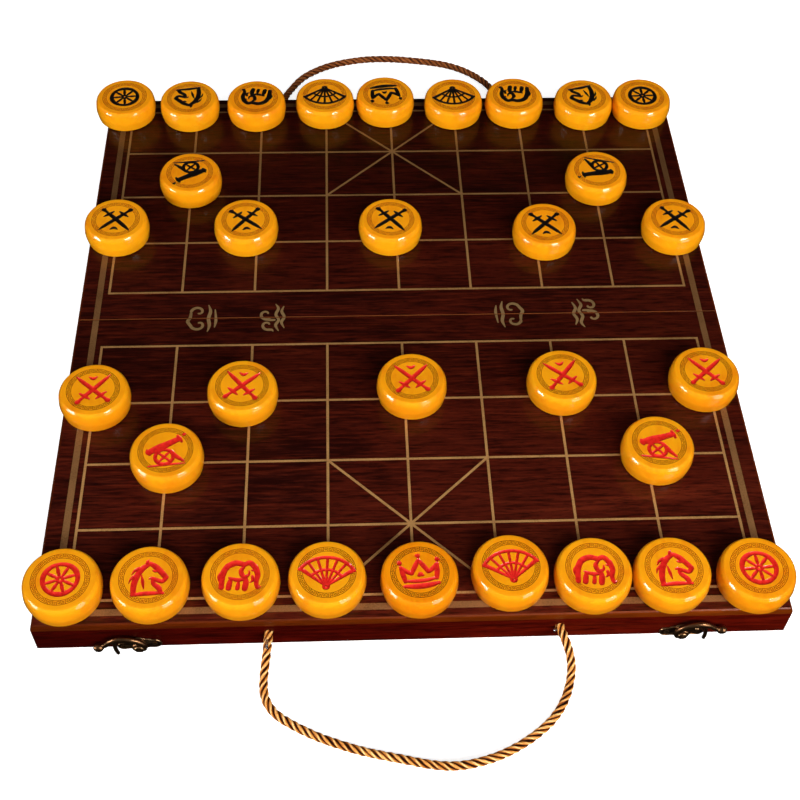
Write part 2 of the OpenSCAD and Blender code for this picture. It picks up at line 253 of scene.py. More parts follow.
class Stroke:
    """A brush stroke: a smooth middle line with a half width at each point, in mm."""

    def __init__(self, pts, per=6, closed=False, straight=False):
        p = np.asarray(pts, float)
        self.closed = closed
        if straight:
            self.c = p
        else:
            self.c = spline(p, per, closed)
        self.c[:, 2] = np.maximum(self.c[:, 2], 0.05)
        xy, w = self.c[:, :2], self.c[:, 2]
        if closed:
            t = np.roll(xy, -1, axis=0) - np.roll(xy, 1, axis=0)
        else:
            t = np.gradient(xy, axis=0)
        t /= np.maximum(np.linalg.norm(t, axis=1), 1e-9)[:, None]
        self.nrm = np.stack([-t[:, 1], t[:, 0]], axis=1)
        left, right = xy + self.nrm * w[:, None], xy - self.nrm * w[:, None]
        self.lines = []
        if closed:
            self.lines += [(left, True), (right, True)]
        else:
            def cap(c, d, r):
                a0 = math.atan2(d[1], d[0])
                return [c + r * np.array([math.cos(a0 + q), math.sin(a0 + q)]) for q in np.radians([60, 30, 0, -30, -60])]
            ring = list(left) + cap(xy[-1], t[-1], w[-1]) + list(right[::-1]) + cap(xy[0], -t[0], w[0])
            self.lines.append((np.array(ring), True))
        # lines part of the way in, so that a groove has a curved bed
        self.inner = [(xy + self.nrm * (w * s)[:, None], closed) for s in (0.5, -0.5)] + [(xy, closed)]

    def depth(self, q):
        """How far inside the stroke each point lies; negative outside."""
        a = self.c if not self.closed else np.vstack([self.c, self.c[:1]])
        best = np.full(len(q), -1e9)
        for i in range(len(a) - 1):
            p0, p1 = a[i], a[i + 1]
            d = p1[:2] - p0[:2]
            ll = max(float(d @ d), 1e-12)
            t = np.clip(((q - p0[:2]) @ d) / ll, 0, 1)
            near = p0[:2] + t[:, None] * d
            w = p0[2] + (p1[2] - p0[2]) * t
            best = np.maximum(best, w - np.linalg.norm(q - near, axis=1))
        return best


def line_edges(pts, closed, verts, edges):
    base = len(verts)
    verts.extend(Vector((float(x), float(y))) for x, y in pts)
    n = len(pts)
    for i in range(n - 1):
        edges.append((base + i, base + i + 1))
    if closed:
        edges.append((base + n - 1, base))


def depth_of(strokes, q):
    best = np.full(len(q), -1e9)
    for s in strokes:
        lo, hi = s.c[:, :2].min(0) - s.c[:, 2].max() - 0.1, s.c[:, :2].max(0) + s.c[:, 2].max() + 0.1
        near = np.all((q >= lo) & (q <= hi), axis=1)
        if near.any():
            best[near] = np.maximum(best[near], s.depth(q[near]))
    return best


def laid_strips(name, strokes, z, rise, mat, smooth=0):
    """Strokes as one thin sheet, standing a little proud of the face at height z."""
    verts, edges = [], []
    for s in strokes:
        for pts, closed in s.lines:
            line_edges(pts, closed, verts, edges)
    v, e, f, *_ = delaunay_2d_cdt(verts, edges, [], 0, 1e-5)
    q = np.array([[a.x, a.y] for a in v])
    tri = [t for t in f]
    mid = np.array([q[list(t)].mean(0) for t in tri])
    keep = depth_of(strokes, mid) > 0.0
    faces = [tuple(t) for t, k in zip(tri, keep) if k]
    used = {}
    out_v, out_f = [], []
    for t in faces:
        out_f.append([used.setdefault(i, len(used)) for i in t])
    order = sorted(used, key=used.get)
    top = [(q[i][0] * MM, q[i][1] * MM, (z + rise) * MM) for i in order]
    low = [(q[i][0] * MM, q[i][1] * MM, (z - 0.03) * MM) for i in order]
    n = len(top)
    count = {}
    for t in out_f:
        for a, b in zip(t, t[1:] + t[:1]):
            count[(a, b)] = count.get((a, b), 0) + 1
    sides = [(b, a, a + n, b + n) for (a, b) in count if (b, a) not in count]
    base = [tuple(i + n for i in t[::-1]) for t in out_f]
    ob = make(name, top + low, [tuple(t) for t in out_f] + sides + base, [mat], None, smooth)
    return outward(ob)


# ------------------------------------------------------------------ shader helpers


class Nodes:
    def __init__(self, name):
        self.mat = bpy.data.materials.new(name)
        self.mat.use_nodes = True
        self.t = self.mat.node_tree
        self.bsdf = self.t.nodes["Principled BSDF"]
        self.out = self.t.nodes["Material Output"]

    def add(self, kind, **kw):
        nd = self.t.nodes.new(kind)
        for k, v in kw.items():
            if hasattr(nd, k):
                setattr(nd, k, v)
            else:
                nd.inputs[k].default_value = v
        return nd

    def link(self, a, b):
        self.t.links.new(a, b)
        return b

    def coords(self, scale=(1, 1, 1), rot=(0, 0, 0), loc=(0, 0, 0), source="Object"):
        tc = self.add("ShaderNodeTexCoord")
        mp = self.add("ShaderNodeMapping")
        mp.inputs["Scale"].default_value = scale
        mp.inputs["Rotation"].default_value = rot
        mp.inputs["Location"].default_value = loc
        self.link(tc.outputs[source], mp.inputs["Vector"])
        return mp.outputs["Vector"]

    def noise(self, vec, scale, detail=4, rough=0.55, distort=0.0):
        nd = self.add("ShaderNodeTexNoise")
        nd.inputs["Scale"].default_value = scale
        nd.inputs["Detail"].default_value = detail
        nd.inputs["Roughness"].default_value = rough
        nd.inputs["Distortion"].default_value = distort
        if vec is not None:
            self.link(vec, nd.inputs["Vector"])
        return nd.outputs["Fac"]

    def ramp(self, fac, stops, interp="LINEAR"):
        nd = self.add("ShaderNodeValToRGB")
        r = nd.color_ramp
        r.interpolation = interp
        while len(r.elements) < len(stops):
            r.elements.new(0.5)
        for e, (pos, col) in zip(r.elements, stops):
            e.position = pos
            c = col if hasattr(col, "__len__") else (col, col, col)
            e.color = (*c[:3], 1)
        self.link(fac, nd.inputs["Fac"])
        return nd.outputs["Color"]

    def math(self, op, a, b=None, c=None, clamp=False):
        nd = self.add("ShaderNodeMath", operation=op)
        nd.use_clamp = clamp
        for i, v in enumerate((a, b, c)):
            if v is None:
                continue
            if isinstance(v, (int, float)):
                nd.inputs[i].default_value = v
            else:
                self.link(v, nd.inputs[i])
        return nd.outputs[0]

    def mix(self, fac, a, b, blend="MIX"):
        nd = self.add("ShaderNodeMix", data_type="RGBA", blend_type=blend)
        for sock, v in ((nd.inputs[0], fac), (nd.inputs[6], a), (nd.inputs[7], b)):
            if isinstance(v, (int, float)):
                sock.default_value = v
            elif isinstance(v, (tuple, list)):
                sock.default_value = (*v[:3], 1)
            else:
                self.link(v, sock)
        return nd.outputs[2]

    def painted_falloff_shade(self, col, axis, a, b, near, far):
        """The colour with painted shade: multiplied by a ramp from near to far along the board from a to b, standing in
        for light that falls off.
        """
        tc = self.add("ShaderNodeTexCoord")
        sep = self.add("ShaderNodeSeparateXYZ")
        self.link(tc.outputs["Object"], sep.inputs[0])
        mr = self.add("ShaderNodeMapRange")
        mr.inputs[1].default_value = a
        mr.inputs[2].default_value = b
        self.link(sep.outputs[axis], mr.inputs[0])
        return self.mix(1.0, col, self.mix(mr.outputs[0], near, far), "MULTIPLY")

    def attr(self, name):
        nd = self.add("ShaderNodeAttribute", attribute_name=name)
        return nd.outputs["Fac"]

    def bump(self, height, strength=0.3, distance=0.001, normal=None):
        nd = self.add("ShaderNodeBump")
        nd.inputs["Strength"].default_value = strength
        nd.inputs["Distance"].default_value = distance
        self.link(height, nd.inputs["Height"])
        if normal is not None:
            self.link(normal, nd.inputs["Normal"])
        return nd.outputs["Normal"]

    def set(self, **kw):
        names = {"color": "Base Color", "rough": "Roughness", "metal": "Metallic", "spec": "Specular IOR Level",
                 "coat": "Coat Weight", "coat_rough": "Coat Roughness", "coat_ior": "Coat IOR", "ior": "IOR",
                 "normal": "Normal", "coat_normal": "Coat Normal", "sss": "Subsurface Weight",
                 "sss_scale": "Subsurface Scale", "sheen": "Sheen Weight", "sheen_rough": "Sheen Roughness",
                 "aniso": "Anisotropic"}
        for k, v in kw.items():
            s = self.bsdf.inputs[names[k]]
            if isinstance(v, bpy.types.NodeSocket):
                self.link(v, s)
            elif isinstance(v, (tuple, list)):
                s.default_value = (*v[:3], 1)
            else:
                s.default_value = v
        return self


# ------------------------------------------------------------------ materials


def wood(name, dark, mid, light, along="x", rough=0.22, coat=1.0, coat_rough=0.05, spec=0.5, figure=1.0,
         scale=1.0, bump=0.05, seed=0.0, falloff_shade=None):
    """Rosewood: clouded ground, soft bands, and short dark flecks and pores that follow the grain. A given falloff
    multiplies the colour down as painted shade along the board.
    """
    m = Nodes(name)

    def grain(stretch, k):
        st = {"x": (stretch, 1.0, 1.0), "y": (1.0, stretch, 1.0)}[along]
        return m.coords(scale=tuple(q * scale for q in st), loc=(seed, seed * k, seed * 0.3))

    cloud = m.noise(grain(0.4, 0.7), 15, 4, 0.55, 0.5)
    band = m.noise(grain(0.06, 0.4), 120, 5, 0.6, 0.3)
    fleck = m.noise(grain(0.075, 0.9), 480, 4, 0.62, 0.15)
    pore = m.noise(grain(0.09, 0.2), 1300, 3, 0.6)
    t = m.math("ADD", m.math("MULTIPLY", cloud, 0.55), m.math("MULTIPLY", band, 0.45))
    col = m.ramp(t, [(0.36, dark), (0.49, mid), (0.56, mid), (0.70, light)])
    f_mask = m.ramp(m.math("ADD", m.math("MULTIPLY", fleck, 0.8), m.math("MULTIPLY", cloud, 0.2)), [(0.40, 1.0), (0.52, 0.0)])
    col = m.mix(m.math("MULTIPLY", f_mask, 0.85 * figure), col, tuple(c * 0.24 for c in mid))
    p_mask = m.ramp(pore, [(0.36, 1.0), (0.46, 0.0)])
    col = m.mix(m.math("MULTIPLY", p_mask, 0.7 * figure), col, tuple(c * 0.3 for c in dark))
    h_mask = m.ramp(fleck, [(0.56, 0.0), (0.70, 1.0)])
    col = m.mix(m.math("MULTIPLY", h_mask, 0.45 * figure), col, tuple(min(1, c * 1.25) for c in light))
    # painted shade: when given, the colour is multiplied down along one axis of the board, for light that falls off
    if falloff_shade:
        col = m.painted_falloff_shade(col, *falloff_shade)
    r = m.math("ADD", m.math("MULTIPLY", fleck, 0.16), rough - 0.06)
    m.set(color=col, rough=r, spec=spec, coat=coat, coat_rough=coat_rough, coat_ior=1.5)
    h = m.math("ADD", m.math("MULTIPLY", pore, 0.5), m.math("MULTIPLY", fleck, 0.5))
    m.set(normal=m.bump(h, bump * 2.0, 0.0002))
    wav = m.noise(m.coords(scale=(1, 1, 1)), 34, 2, 0.5)
    m.set(coat_normal=m.bump(wav, 0.05, 0.0006))
    return m.mat


def srgb(r, g, b):
    def f(c):
        c /= 255
        return c / 12.92 if c <= 0.04045 else ((c + 0.055) / 1.055) ** 2.4
    return (f(r), f(g), f(b))


WHITE = (1.0, 1.0, 1.0)
RAIL_TONES = (srgb(52, 3, 1), srgb(74, 8, 2), srgb(94, 20, 5))
# painted shade and light: the front and back rails darken towards the left and brighten towards the right, for light
# that comes from the right
RAIL_SHADE_FALLOFF = (0, -0.25, 0.25, (0.46, 0.3, 0.4), (1.18, 1.3, 1.1))
# painted shade: the top is multiplied down towards the far half, for light that falls off towards the back
M_TOP = wood("rosewood_top", srgb(41, 9, 6), srgb(69, 19, 9), srgb(93, 32, 16), rough=0.45, coat=0.38,
             coat_rough=0.18, spec=0.05, bump=0.03, falloff_shade=(1, -0.20, 0.26, WHITE, (0.345, 0.28, 0.28)))
M_RAIL = wood("rosewood_rail", *RAIL_TONES, rough=0.5, coat=0.04, coat_rough=0.2, spec=0.03, scale=1.0, bump=0.04,
              seed=3.7, figure=0.75, falloff_shade=RAIL_SHADE_FALLOFF)
M_RAIL_Y = wood("rosewood_side_rail", *RAIL_TONES, along="y", rough=0.5, coat=0.04, coat_rough=0.2, spec=0.03,
                scale=1.0, bump=0.04, seed=8.1, figure=0.75)
# painted shade and light: the panel edge darkens towards the left and brightens towards the right, for light that comes
# from the right
M_EDGE = wood("panel_edge", srgb(82, 27, 1), srgb(103, 38, 2), srgb(124, 52, 7), rough=0.4, coat=0.15,
              coat_rough=0.15, spec=0.08, scale=1.3, bump=0.05, seed=1.9, figure=0.45,
              falloff_shade=(0, -0.25, 0.25, (0.55, 0.5, 0.5), (1.12, 1.2, 1.1)))
M_SEAM = wood("seam_edge", srgb(82, 38, 11), srgb(100, 50, 17), srgb(118, 64, 27), rough=0.4, coat=0.05,
              coat_rough=0.15, spec=0.1, scale=1.3, bump=0.05, seed=2.6, figure=0.3)
M_INSIDE = wood("tray_inside", srgb(84, 34, 16), srgb(112, 52, 26), srgb(140, 72, 38), rough=0.55, coat=0.0,
                spec=0.25, scale=0.8, bump=0.12, seed=5.5, figure=0.7)


def inlay(name, base, deep, falloff_shade=None):
    """Gold line paint, a little metallic, with a fine grain and slow wear. A given falloff darkens it as painted shade
    along the board.
    """
    m = Nodes(name)
    v = m.coords()
    a = m.noise(v, 900, 4, 0.6)
    b = m.noise(v, 60, 3, 0.5)
    col = m.ramp(m.math("ADD", m.math("MULTIPLY", a, 0.6), m.math("MULTIPLY", b, 0.4)),
                 [(0.36, deep), (0.5, base), (0.66, tuple(min(1, c * 1.22) for c in base))])
    # painted shade: when given, the colour is multiplied down along one axis of the board, for light that falls off
    if falloff_shade:
        col = m.painted_falloff_shade(col, *falloff_shade)
    m.set(color=col, metal=0.25, rough=0.42, spec=0.35, coat=0.3, coat_rough=0.12)
    m.set(normal=m.bump(a, 0.12, 0.00005))
    return m.mat


# painted shade: the gold lines, the border band and the river scrolls are multiplied down towards the far half, for
# light that falls off towards the back
LINE_SHADE_FALLOFF = (1, -0.22, 0.26, WHITE, (0.29, 0.29, 0.29))
M_LINE = inlay("line_gold", srgb(190, 142, 86), srgb(156, 112, 64), LINE_SHADE_FALLOFF)
M_BAND = inlay("band_gold", srgb(140, 98, 59), srgb(113, 77, 43), LINE_SHADE_FALLOFF)
M_RIVER = inlay("river_gold", srgb(160, 128, 84), srgb(128, 98, 60), LINE_SHADE_FALLOFF)


def amber(name, light, deep, side_light_shade):
    """Polished amber-coloured lacquer over pale wood: cloudy depth, faint grain. The lower side is mixed toward a side
    colour that paints light or shade onto it.
    """
    m = Nodes(name)
    v = m.coords()
    tone = m.attr("tone")
    cloud = m.noise(v, 55, 4, 0.55, 0.4)
    grain = m.noise(m.coords(scale=(1, 0.16, 1)), 340, 3, 0.55)
    f = m.math("ADD", m.math("MULTIPLY", cloud, 0.75), m.math("MULTIPLY", grain, 0.25))
    col = m.ramp(f, [(0.34, deep), (0.5, light), (0.68, tuple(min(1, c * 1.08) for c in light))])
    # painted light and shade: the lower side of the piece is mixed toward the side colour
    side = m.attr("side")
    col = m.mix(m.math("MULTIPLY", side, 0.55), col, side_light_shade)
    col = m.mix(tone, col, m.mix(1.0, col, (0.93, 0.70, 0.35), "MULTIPLY"))
    m.set(color=col, rough=0.4, spec=0.05, coat=1.0, coat_rough=0.05, coat_ior=1.5, sss=0.25, sss_scale=0.004)
    m.bsdf.inputs["Subsurface Radius"].default_value = (1.0, 0.45, 0.1)
    m.set(normal=m.bump(grain, 0.04, 0.0001))
    m.set(coat_normal=m.bump(m.noise(v, 120, 2, 0.5), 0.05, 0.0004))
    return m.mat


# the near set's side colour is darker than its top (painted shade low on the sides); the far set's is brighter (painted
# light on the sides)
M_AMBER = amber("amber", (0.83, 0.325, 0.005), (0.77, 0.245, 0.004), (0.76, 0.232, 0.003))
M_AMBER_FAR = amber("amber_far", (0.88, 0.33, 0.005), (0.80, 0.25, 0.004), (0.90, 0.37, 0.004))



def paint(name, a, b, rough=0.3, coat=0.6, spec=0.5):
    m = Nodes(name)
    v = m.coords()
    n1 = m.noise(v, 420, 4, 0.6)
    n2 = m.noise(v, 1700, 2, 0.5)
    col = m.ramp(n1, [(0.36, b), (0.56, a)])
    m.set(color=col, rough=rough, spec=spec, coat=coat, coat_rough=0.12)
    m.set(normal=m.bump(n2, 0.18, 0.00008))
    return m.mat


M_RED = paint("paint_red", srgb(218, 36, 26), srgb(188, 22, 16))
M_BLACK = paint("paint_black", srgb(18, 13, 10), srgb(10, 7, 6))
M_RING = paint("ring_brown", srgb(132, 28, 6), srgb(104, 18, 4), rough=0.7, coat=0.0, spec=0.05)
M_RING_DEEP = paint("ring_deep", srgb(84, 18, 4), srgb(60, 11, 2), rough=0.7, coat=0.0, spec=0.05)
M_RING_DARK = paint("ring_dark", srgb(36, 12, 4), srgb(24, 8, 3), rough=0.6, coat=0.0, spec=0.1)
M_RING_FAR = paint("ring_far", srgb(134, 36, 12), srgb(106, 24, 8), rough=0.7, coat=0.0, spec=0.05)


def metal(name, dark, mid, bright, rough=0.36, lo=0.47, hi=0.56, speck=900):
    """Cast or rubbed metal: dark in the hollows, bright where hands rub it."""
    m = Nodes(name)
    v = m.coords()
    geo = m.add("ShaderNodeNewGeometry")
    point = m.math("ADD", geo.outputs["Pointiness"], m.math("MULTIPLY", m.math("SUBTRACT", m.noise(v, speck, 4, 0.6), 0.5), 0.06))
    col = m.ramp(point, [(lo, dark), ((lo + hi) / 2, mid), (hi, bright)])
    blot = m.ramp(m.noise(v, 160, 3, 0.55), [(0.38, 0.7), (0.6, 1.0)])
    col = m.mix(0.75, col, m.mix(1.0, col, blot, "MULTIPLY"))
    r = m.math("ADD", m.math("MULTIPLY", m.noise(v, 700, 3, 0.6), 0.24), rough - 0.12)
    m.set(color=col, metal=1.0, rough=r, spec=0.5)
    m.set(normal=m.bump(m.noise(v, 1100, 3, 0.6), 0.10, 0.0001))
    return m.mat


M_BRONZE = metal("antique_bronze", srgb(60, 37, 23), srgb(138, 98, 66), srgb(222, 180, 132), rough=0.33, lo=0.44, hi=0.58, speck=500)
M_BRASS = metal("hinge_brass", srgb(150, 118, 62), srgb(186, 152, 86), srgb(224, 194, 128), rough=0.3)
M_STEEL = metal("steel_wire", srgb(150, 150, 154), srgb(190, 190, 196), srgb(232, 232, 238), rough=0.22)


def fibre(name, shade, dark, mid, light, glint):
    """Twisted shiny yarn: dark in the lay of the strands and bright on their crowns, as painted shade and a painted
    highlight (the glint) keyed to the crown value.
    """
    m = Nodes(name)
    out = m.attr("crown")
    fu, fv = m.attr("along"), m.attr("round")
    comb = m.add("ShaderNodeCombineXYZ")
    m.link(m.math("MULTIPLY", fu, 0.22), comb.inputs[0])
    m.link(m.math("MULTIPLY", fv, 3.0), comb.inputs[1])
    m.link(m.attr("strand"), comb.inputs[2])
    thread = m.noise(comb.outputs[0], 2.6, 4, 0.6)
    wide = m.noise(comb.outputs[0], 0.7, 2, 0.5)
    crown_shade_fac = m.math("ADD", out, m.math("MULTIPLY", m.math("SUBTRACT", thread, 0.5), 0.16))
    # painted shade and highlight: the ramp runs from shade deep between the strands to a glint on their crowns
    col = m.ramp(crown_shade_fac, [(0.72, shade), (0.82, dark), (0.90, mid), (0.955, light), (0.995, glint)])
    tint = m.ramp(wide, [(0.36, (0.74, 0.70, 0.64)), (0.62, (1.0, 1.0, 1.0))])
    col = m.mix(1.0, col, tint, "MULTIPLY")
    m.set(color=col, rough=0.5, spec=0.16, sheen=0.0)
    m.set(normal=m.bump(thread, 0.55, 0.00025))
    return m.mat


M_GOLD = fibre("rope_gold", srgb(26, 5, 1), srgb(96, 40, 8), srgb(182, 102, 34), srgb(240, 168, 84), srgb(255, 218, 148))
M_BROWN = fibre("rope_brown", srgb(40, 14, 4), srgb(84, 38, 14), srgb(136, 72, 32), srgb(158, 90, 44), srgb(176, 106, 56))




def felt():
    m = Nodes("foot_felt")
    v = m.coords()
    n = m.noise(v, 2600, 4, 0.7)
    m.set(color=m.ramp(n, [(0.35, srgb(26, 22, 22)), (0.65, srgb(58, 52, 50))]), rough=0.95, spec=0.1, sheen=0.5,
          sheen_rough=0.5)
    m.set(normal=m.bump(n, 0.6, 0.0003))
    return m.mat


M_FELT = felt()

# ------------------------------------------------------------------ rope handles
# Routes in mm, from the left hole to the right one
FRONT_ROUTE = [
    (-95, -262, 15.5), (-95.5, -269, 15), (-96.5, -279, 12.5), (-98, -291, 8.5), (-97, -302, 5.8),
    (-91, -311.5, 4.8), (-80, -319.5, 4.7), (-65, -327.5, 4.7), (-51, -333, 4.2), (-37, -337.5, 3.3),
    (-25, -340.5, 3.2), (-12.5, -343.5, 3.8), (0, -347, 4.6), (12, -349.2, 4.7), (24, -349.6, 4.7),
    (37, -347.4, 4.7), (49.5, -343.5, 4.7), (59.5, -339, 4.7), (69, -333.5, 4.7), (76, -328.5, 4.7),
    (84, -321.5, 4.8), (92, -311, 5), (97.5, -299, 6.2), (100, -287, 9.6), (99, -277, 13), (96.5, -268.5, 15.2),
    (94.5, -262, 15.5)]
REAR_ROUTE = [
    (-95, 262, 15.5), (-95, 269, 15.2), (-94.5, 279, 12.8), (-94, 290, 9.2), (-90, 303, 6), (-79.5, 322.5, 4.8),
    (-66, 334.5, 4.7), (-51, 343.5, 4.2), (-34, 350, 3.3), (-17, 353, 3.5), (2, 351.5, 4.7), (21, 349.5, 4.7),
    (41.5, 346, 4.7), (58.5, 341, 4.7), (73, 333, 4.7), (84, 323.5, 4.8), (92.5, 313, 5), (96.5, 302.5, 6.2),
    (97.5, 290.5, 9.2), (96.5, 279, 13), (95, 269, 15.2), (94.5, 262, 15.5)]
ROPE_R = 3.0


def rope_mesh(name, path, mat, lay=23.2, phase=0.0, strand_r=1.08, sides=22, shrink=1.0, strands=4):
    """Strands laid right-handed round a core line, each of three soft yarns. The crown value, the distance from the
    rope's axis, drives the fibre material's painted shade and highlight, so the core and the lay come out dark.
    """
    t, n, b = frames(path)
    s = np.r_[0, np.cumsum(np.linalg.norm(np.diff(path, axis=0), axis=1))]
    verts, faces = [], []
    along, rnd, crown, strand = [], [], [], []
    a_r = (ROPE_R - strand_r * 1.07) * shrink
    sr = strand_r * shrink
    m = len(path)
    for k in range(strands + 1):
        core = k == strands
        ang = 2 * math.pi * (s / lay + k / strands) + phase
        ang = ang + 0.10 * np.sin(s / 9.0 + 2.1 * k + phase)
        swell = 1 + 0.03 * np.sin(s / 6.3 + 1.7 * k) + 0.02 * np.sin(s / 2.9 + k)
        rad = np.cos(ang)[:, None] * n + np.sin(ang)[:, None] * b
        centre = path + (0.0 if core else a_r) * rad
        ct = np.gradient(centre, axis=0)
        ct /= np.linalg.norm(ct, axis=1)[:, None]
        r1 = rad - ct * (rad * ct).sum(1)[:, None]
        r1 /= np.linalg.norm(r1, axis=1)[:, None]
        r2 = np.cross(ct, r1)
        base = len(verts)
        sd = 10 if core else sides
        r_k = (ROPE_R * 0.46 * shrink) if core else sr
        for i in range(m):
            for j in range(sd):
                q = 2 * math.pi * j / sd
                lobe = 1 + (0.0 if core else 0.07 * math.cos(3 * q - 2 * math.pi * s[i] / 9.0))
                rr = r_k * swell[i] * lobe
                p = centre[i] + rr * (math.cos(q) * r1[i] * 1.0 + math.sin(q) * r2[i] * 1.06)
                verts.append(p * MM)
                along.append(s[i])
                rnd.append(q + 2 * math.pi * s[i] / 9.0)
                strand.append(k * 7.3)
                # crown: distance from the rope's axis, read by the fibre material to paint shade low down and a
                # highlight on top
                crown.append(np.linalg.norm(p - path[i]) / (ROPE_R * shrink))
        for i in range(m - 1):
            for j in range(sd):
                c0, c1 = base + i * sd + j, base + i * sd + (j + 1) % sd
                faces.append((c0, c1, c1 + sd, c0 + sd))
        faces.append(tuple(base + j for j in range(sd))[::-1])
        faces.append(tuple(base + (m - 1) * sd + j for j in range(sd)))
    ob = make(name, verts, faces, [mat], None, 180)
    for an, vals in (("along", along), ("round", rnd), ("crown", crown), ("strand", strand)):
        at = ob.data.attributes.new(an, "FLOAT", "POINT")
        at.data.foreach_set("value", np.asarray(vals, np.float32))
    return ob


def rope_line(route):
    sy = 1 if route[0][1] > 0 else -1
    pts = [(route[0][0], sy * 250.0, HOLE_Z), (route[0][0], sy * 256.0, HOLE_Z)] + list(route) + [
        (route[-1][0], sy * 256.0, HOLE_Z), (route[-1][0], sy * 250.0, HOLE_Z)]
    p = even(spline(pts, 14), 1.0)
    p = soften(p, 30, 8)
    p = even(p, 0.6)
    p[:, 2] = np.maximum(p[:, 2], 3.12)
    return p


front_line, rear_line = rope_line(FRONT_ROUTE), rope_line(REAR_ROUTE)
front_rope = rope_mesh("front_rope", front_line, M_GOLD, phase=0.6)
rear_rope = rope_mesh("rear_rope", rear_line, M_BROWN, phase=2.0, strand_r=1.3, shrink=1.05)


def knot_line(x, sy):
    """A stopper knot behind the rail: the rope's end thrown once round itself."""
    pts = []
    for i in range(40):
        a = 2 * math.pi * i / 40 * 2.0
        k = i / 39
        r = 3.3 + 0.5 * math.cos(3 * math.pi * k)
        pts.append((x + r * math.cos(a * 0.9), sy * (244.6 - 1.3 * math.sin(1.5 * a) - 0.6 * k), HOLE_Z + r * math.sin(a * 0.9)))
    return soften(np.array(pts), 3)


def knots(name, sy, mat):
    parts = []
    for i, x in enumerate((-95.0, 94.5)):
        line = even(knot_line(x, sy), 0.6)
        parts.append(rope_mesh(f"{name}_{i}", line, mat, lay=9.0, phase=i * 1.3, strand_r=1.5, sides=14, shrink=0.62, strands=3))
        core = np.array([(x, sy * y, HOLE_Z) for y in np.linspace(250.5, 241.0, 17)])
        parts.append(rope_mesh(f"{name}_core_{i}", core, mat, phase=0.4 + i, strand_r=1.2, sides=14, shrink=0.9))
    bpy.ops.object.select_all(action="DESELECT")
    for o in parts:
        o.select_set(True)
    bpy.context.view_layer.objects.active = parts[0]
    bpy.ops.object.join()
    parts[0].name = name
    parts[0].data.name = name
    return parts[0]


front_knots = knots("front_stopper_knots", -1, M_GOLD)
rear_knots = knots("rear_stopper_knots", 1, M_BROWN)
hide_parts("front_rope_knots")
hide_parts("rear_rope_knots")
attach(front_knots, "front_half")
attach(rear_knots, "back_half")
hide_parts("front_rope_handle")
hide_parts("rear_rope_handle")

# Two steel wires hold the front rope's ends
wires = new_store()


def rod(p0, p1, r, n=14, head=None):
    a, b_ = Vector(p0), Vector(p1)
    d = (b_ - a).normalized()
    u = d.orthogonal().normalized()
    w = d.cross(u)
    L = (b_ - a).length
    prof = [(0, 0.0), (0.12, 0.6), (0.3, 0.9), (0.6, 1.0)] if head is None else head
    rows = [(x, q * r) for x, q in prof] + [(L - x, q * r) for x, q in prof[::-1]]
    rings = []
    for x, q in rows:
        q = max(q, 0.02)
        rings.append([tuple((a + d * x + (u * math.cos(2 * math.pi * k / n) + w * math.sin(2 * math.pi * k / n)) * q) * MM) for k in range(n)])
    return sweep_rings(rings)


add_mesh(wires, *rod((90.1, -263.6, HOLE_Z), (96.6, -263.6, HOLE_Z), 0.7))
add_mesh(wires, *rod((90.0, -263.6, HOLE_Z), (91.4, -263.6, HOLE_Z), 1.75, 20))
add_mesh(wires, *rod((-95.6, -266.8, HOLE_Z + 2.3), (-95.9, -273.2, HOLE_Z + 1.7), 0.95))
rope_wires = from_store("rope_end_wires", wires, [M_STEEL], 50)
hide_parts("front_rope_pins")
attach(rope_wires, "handle_front")


def line_length(p):
    return float(np.linalg.norm(np.diff(p, axis=0), axis=1).sum()) * MM


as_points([tuple(p * MM) for p in front_line[::4]] + [tuple(front_line[-1] * MM)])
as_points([tuple(p * MM) for p in rear_line[::4]] + [tuple(rear_line[-1] * MM)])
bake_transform(front_rope)
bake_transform(rear_rope)
print("rope lengths", round(line_length(front_line), 4), round(line_length(rear_line), 4))

# ------------------------------------------------------------------ the two halves: bevelled copies of the CAD shapes


def bevelled(node, name, width, mat_of, body, segments=3, tidy=True, sharp=40):
    """A copy of a CAD shape with soft arrises, its faces given materials by their direction."""
    src = CAD[node]
    me = src.data.copy()
    me.name = name
    me.transform(src.matrix_world)
    ob = bpy.data.objects.new(name, me)
    scene.collection.objects.link(ob)
    bm = bmesh.new()
    bm.from_mesh(me)
    bmesh.ops.remove_doubles(bm, verts=bm.verts, dist=1e-6)
    if tidy:
        bmesh.ops.dissolve_limit(bm, angle_limit=math.radians(0.6), verts=bm.verts, edges=bm.edges)
    bmesh.ops.recalc_face_normals(bm, faces=bm.faces)
    edges = [e for e in bm.edges if len(e.link_faces) == 2 and e.calc_face_angle(0) > math.radians(30)]
    if width:
        bmesh.ops.bevel(bm, geom=edges, offset=width * MM, segments=segments, profile=0.5, affect="EDGES",
                        clamp_overlap=True, harden_normals=False)
    bmesh.ops.triangulate(bm, faces=[f for f in bm.faces if len(f.verts) > 4])
    bm.to_mesh(me)
    bm.free()
    mats = []
    me.materials.clear()
    idx = []
    for p in me.polygons:
        m = mat_of(p)
        if m not in mats:
            mats.append(m)
        idx.append(mats.index(m))
    for m in mats:
        me.materials.append(m)
    me.polygons.foreach_set("material_index", np.array(idx, np.int32))
    me.shade_smooth()
    me.set_sharp_from_angle(angle=math.radians(sharp))
    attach(ob, body)
    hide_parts(node)
    return ob


def panel_mat(p):
    n, c = p.normal, p.center
    if n.z > 0.9:
        return M_TOP
    if n.z < -0.9:
        return M_INSIDE
    if abs(c.y) < 0.002:
        return M_SEAM if n.z > 0.25 else M_RAIL
    return M_EDGE


def rail_mat(mat, inner=None):
    def f(p):
        n, c = p.normal, p.center
        return mat
    return f


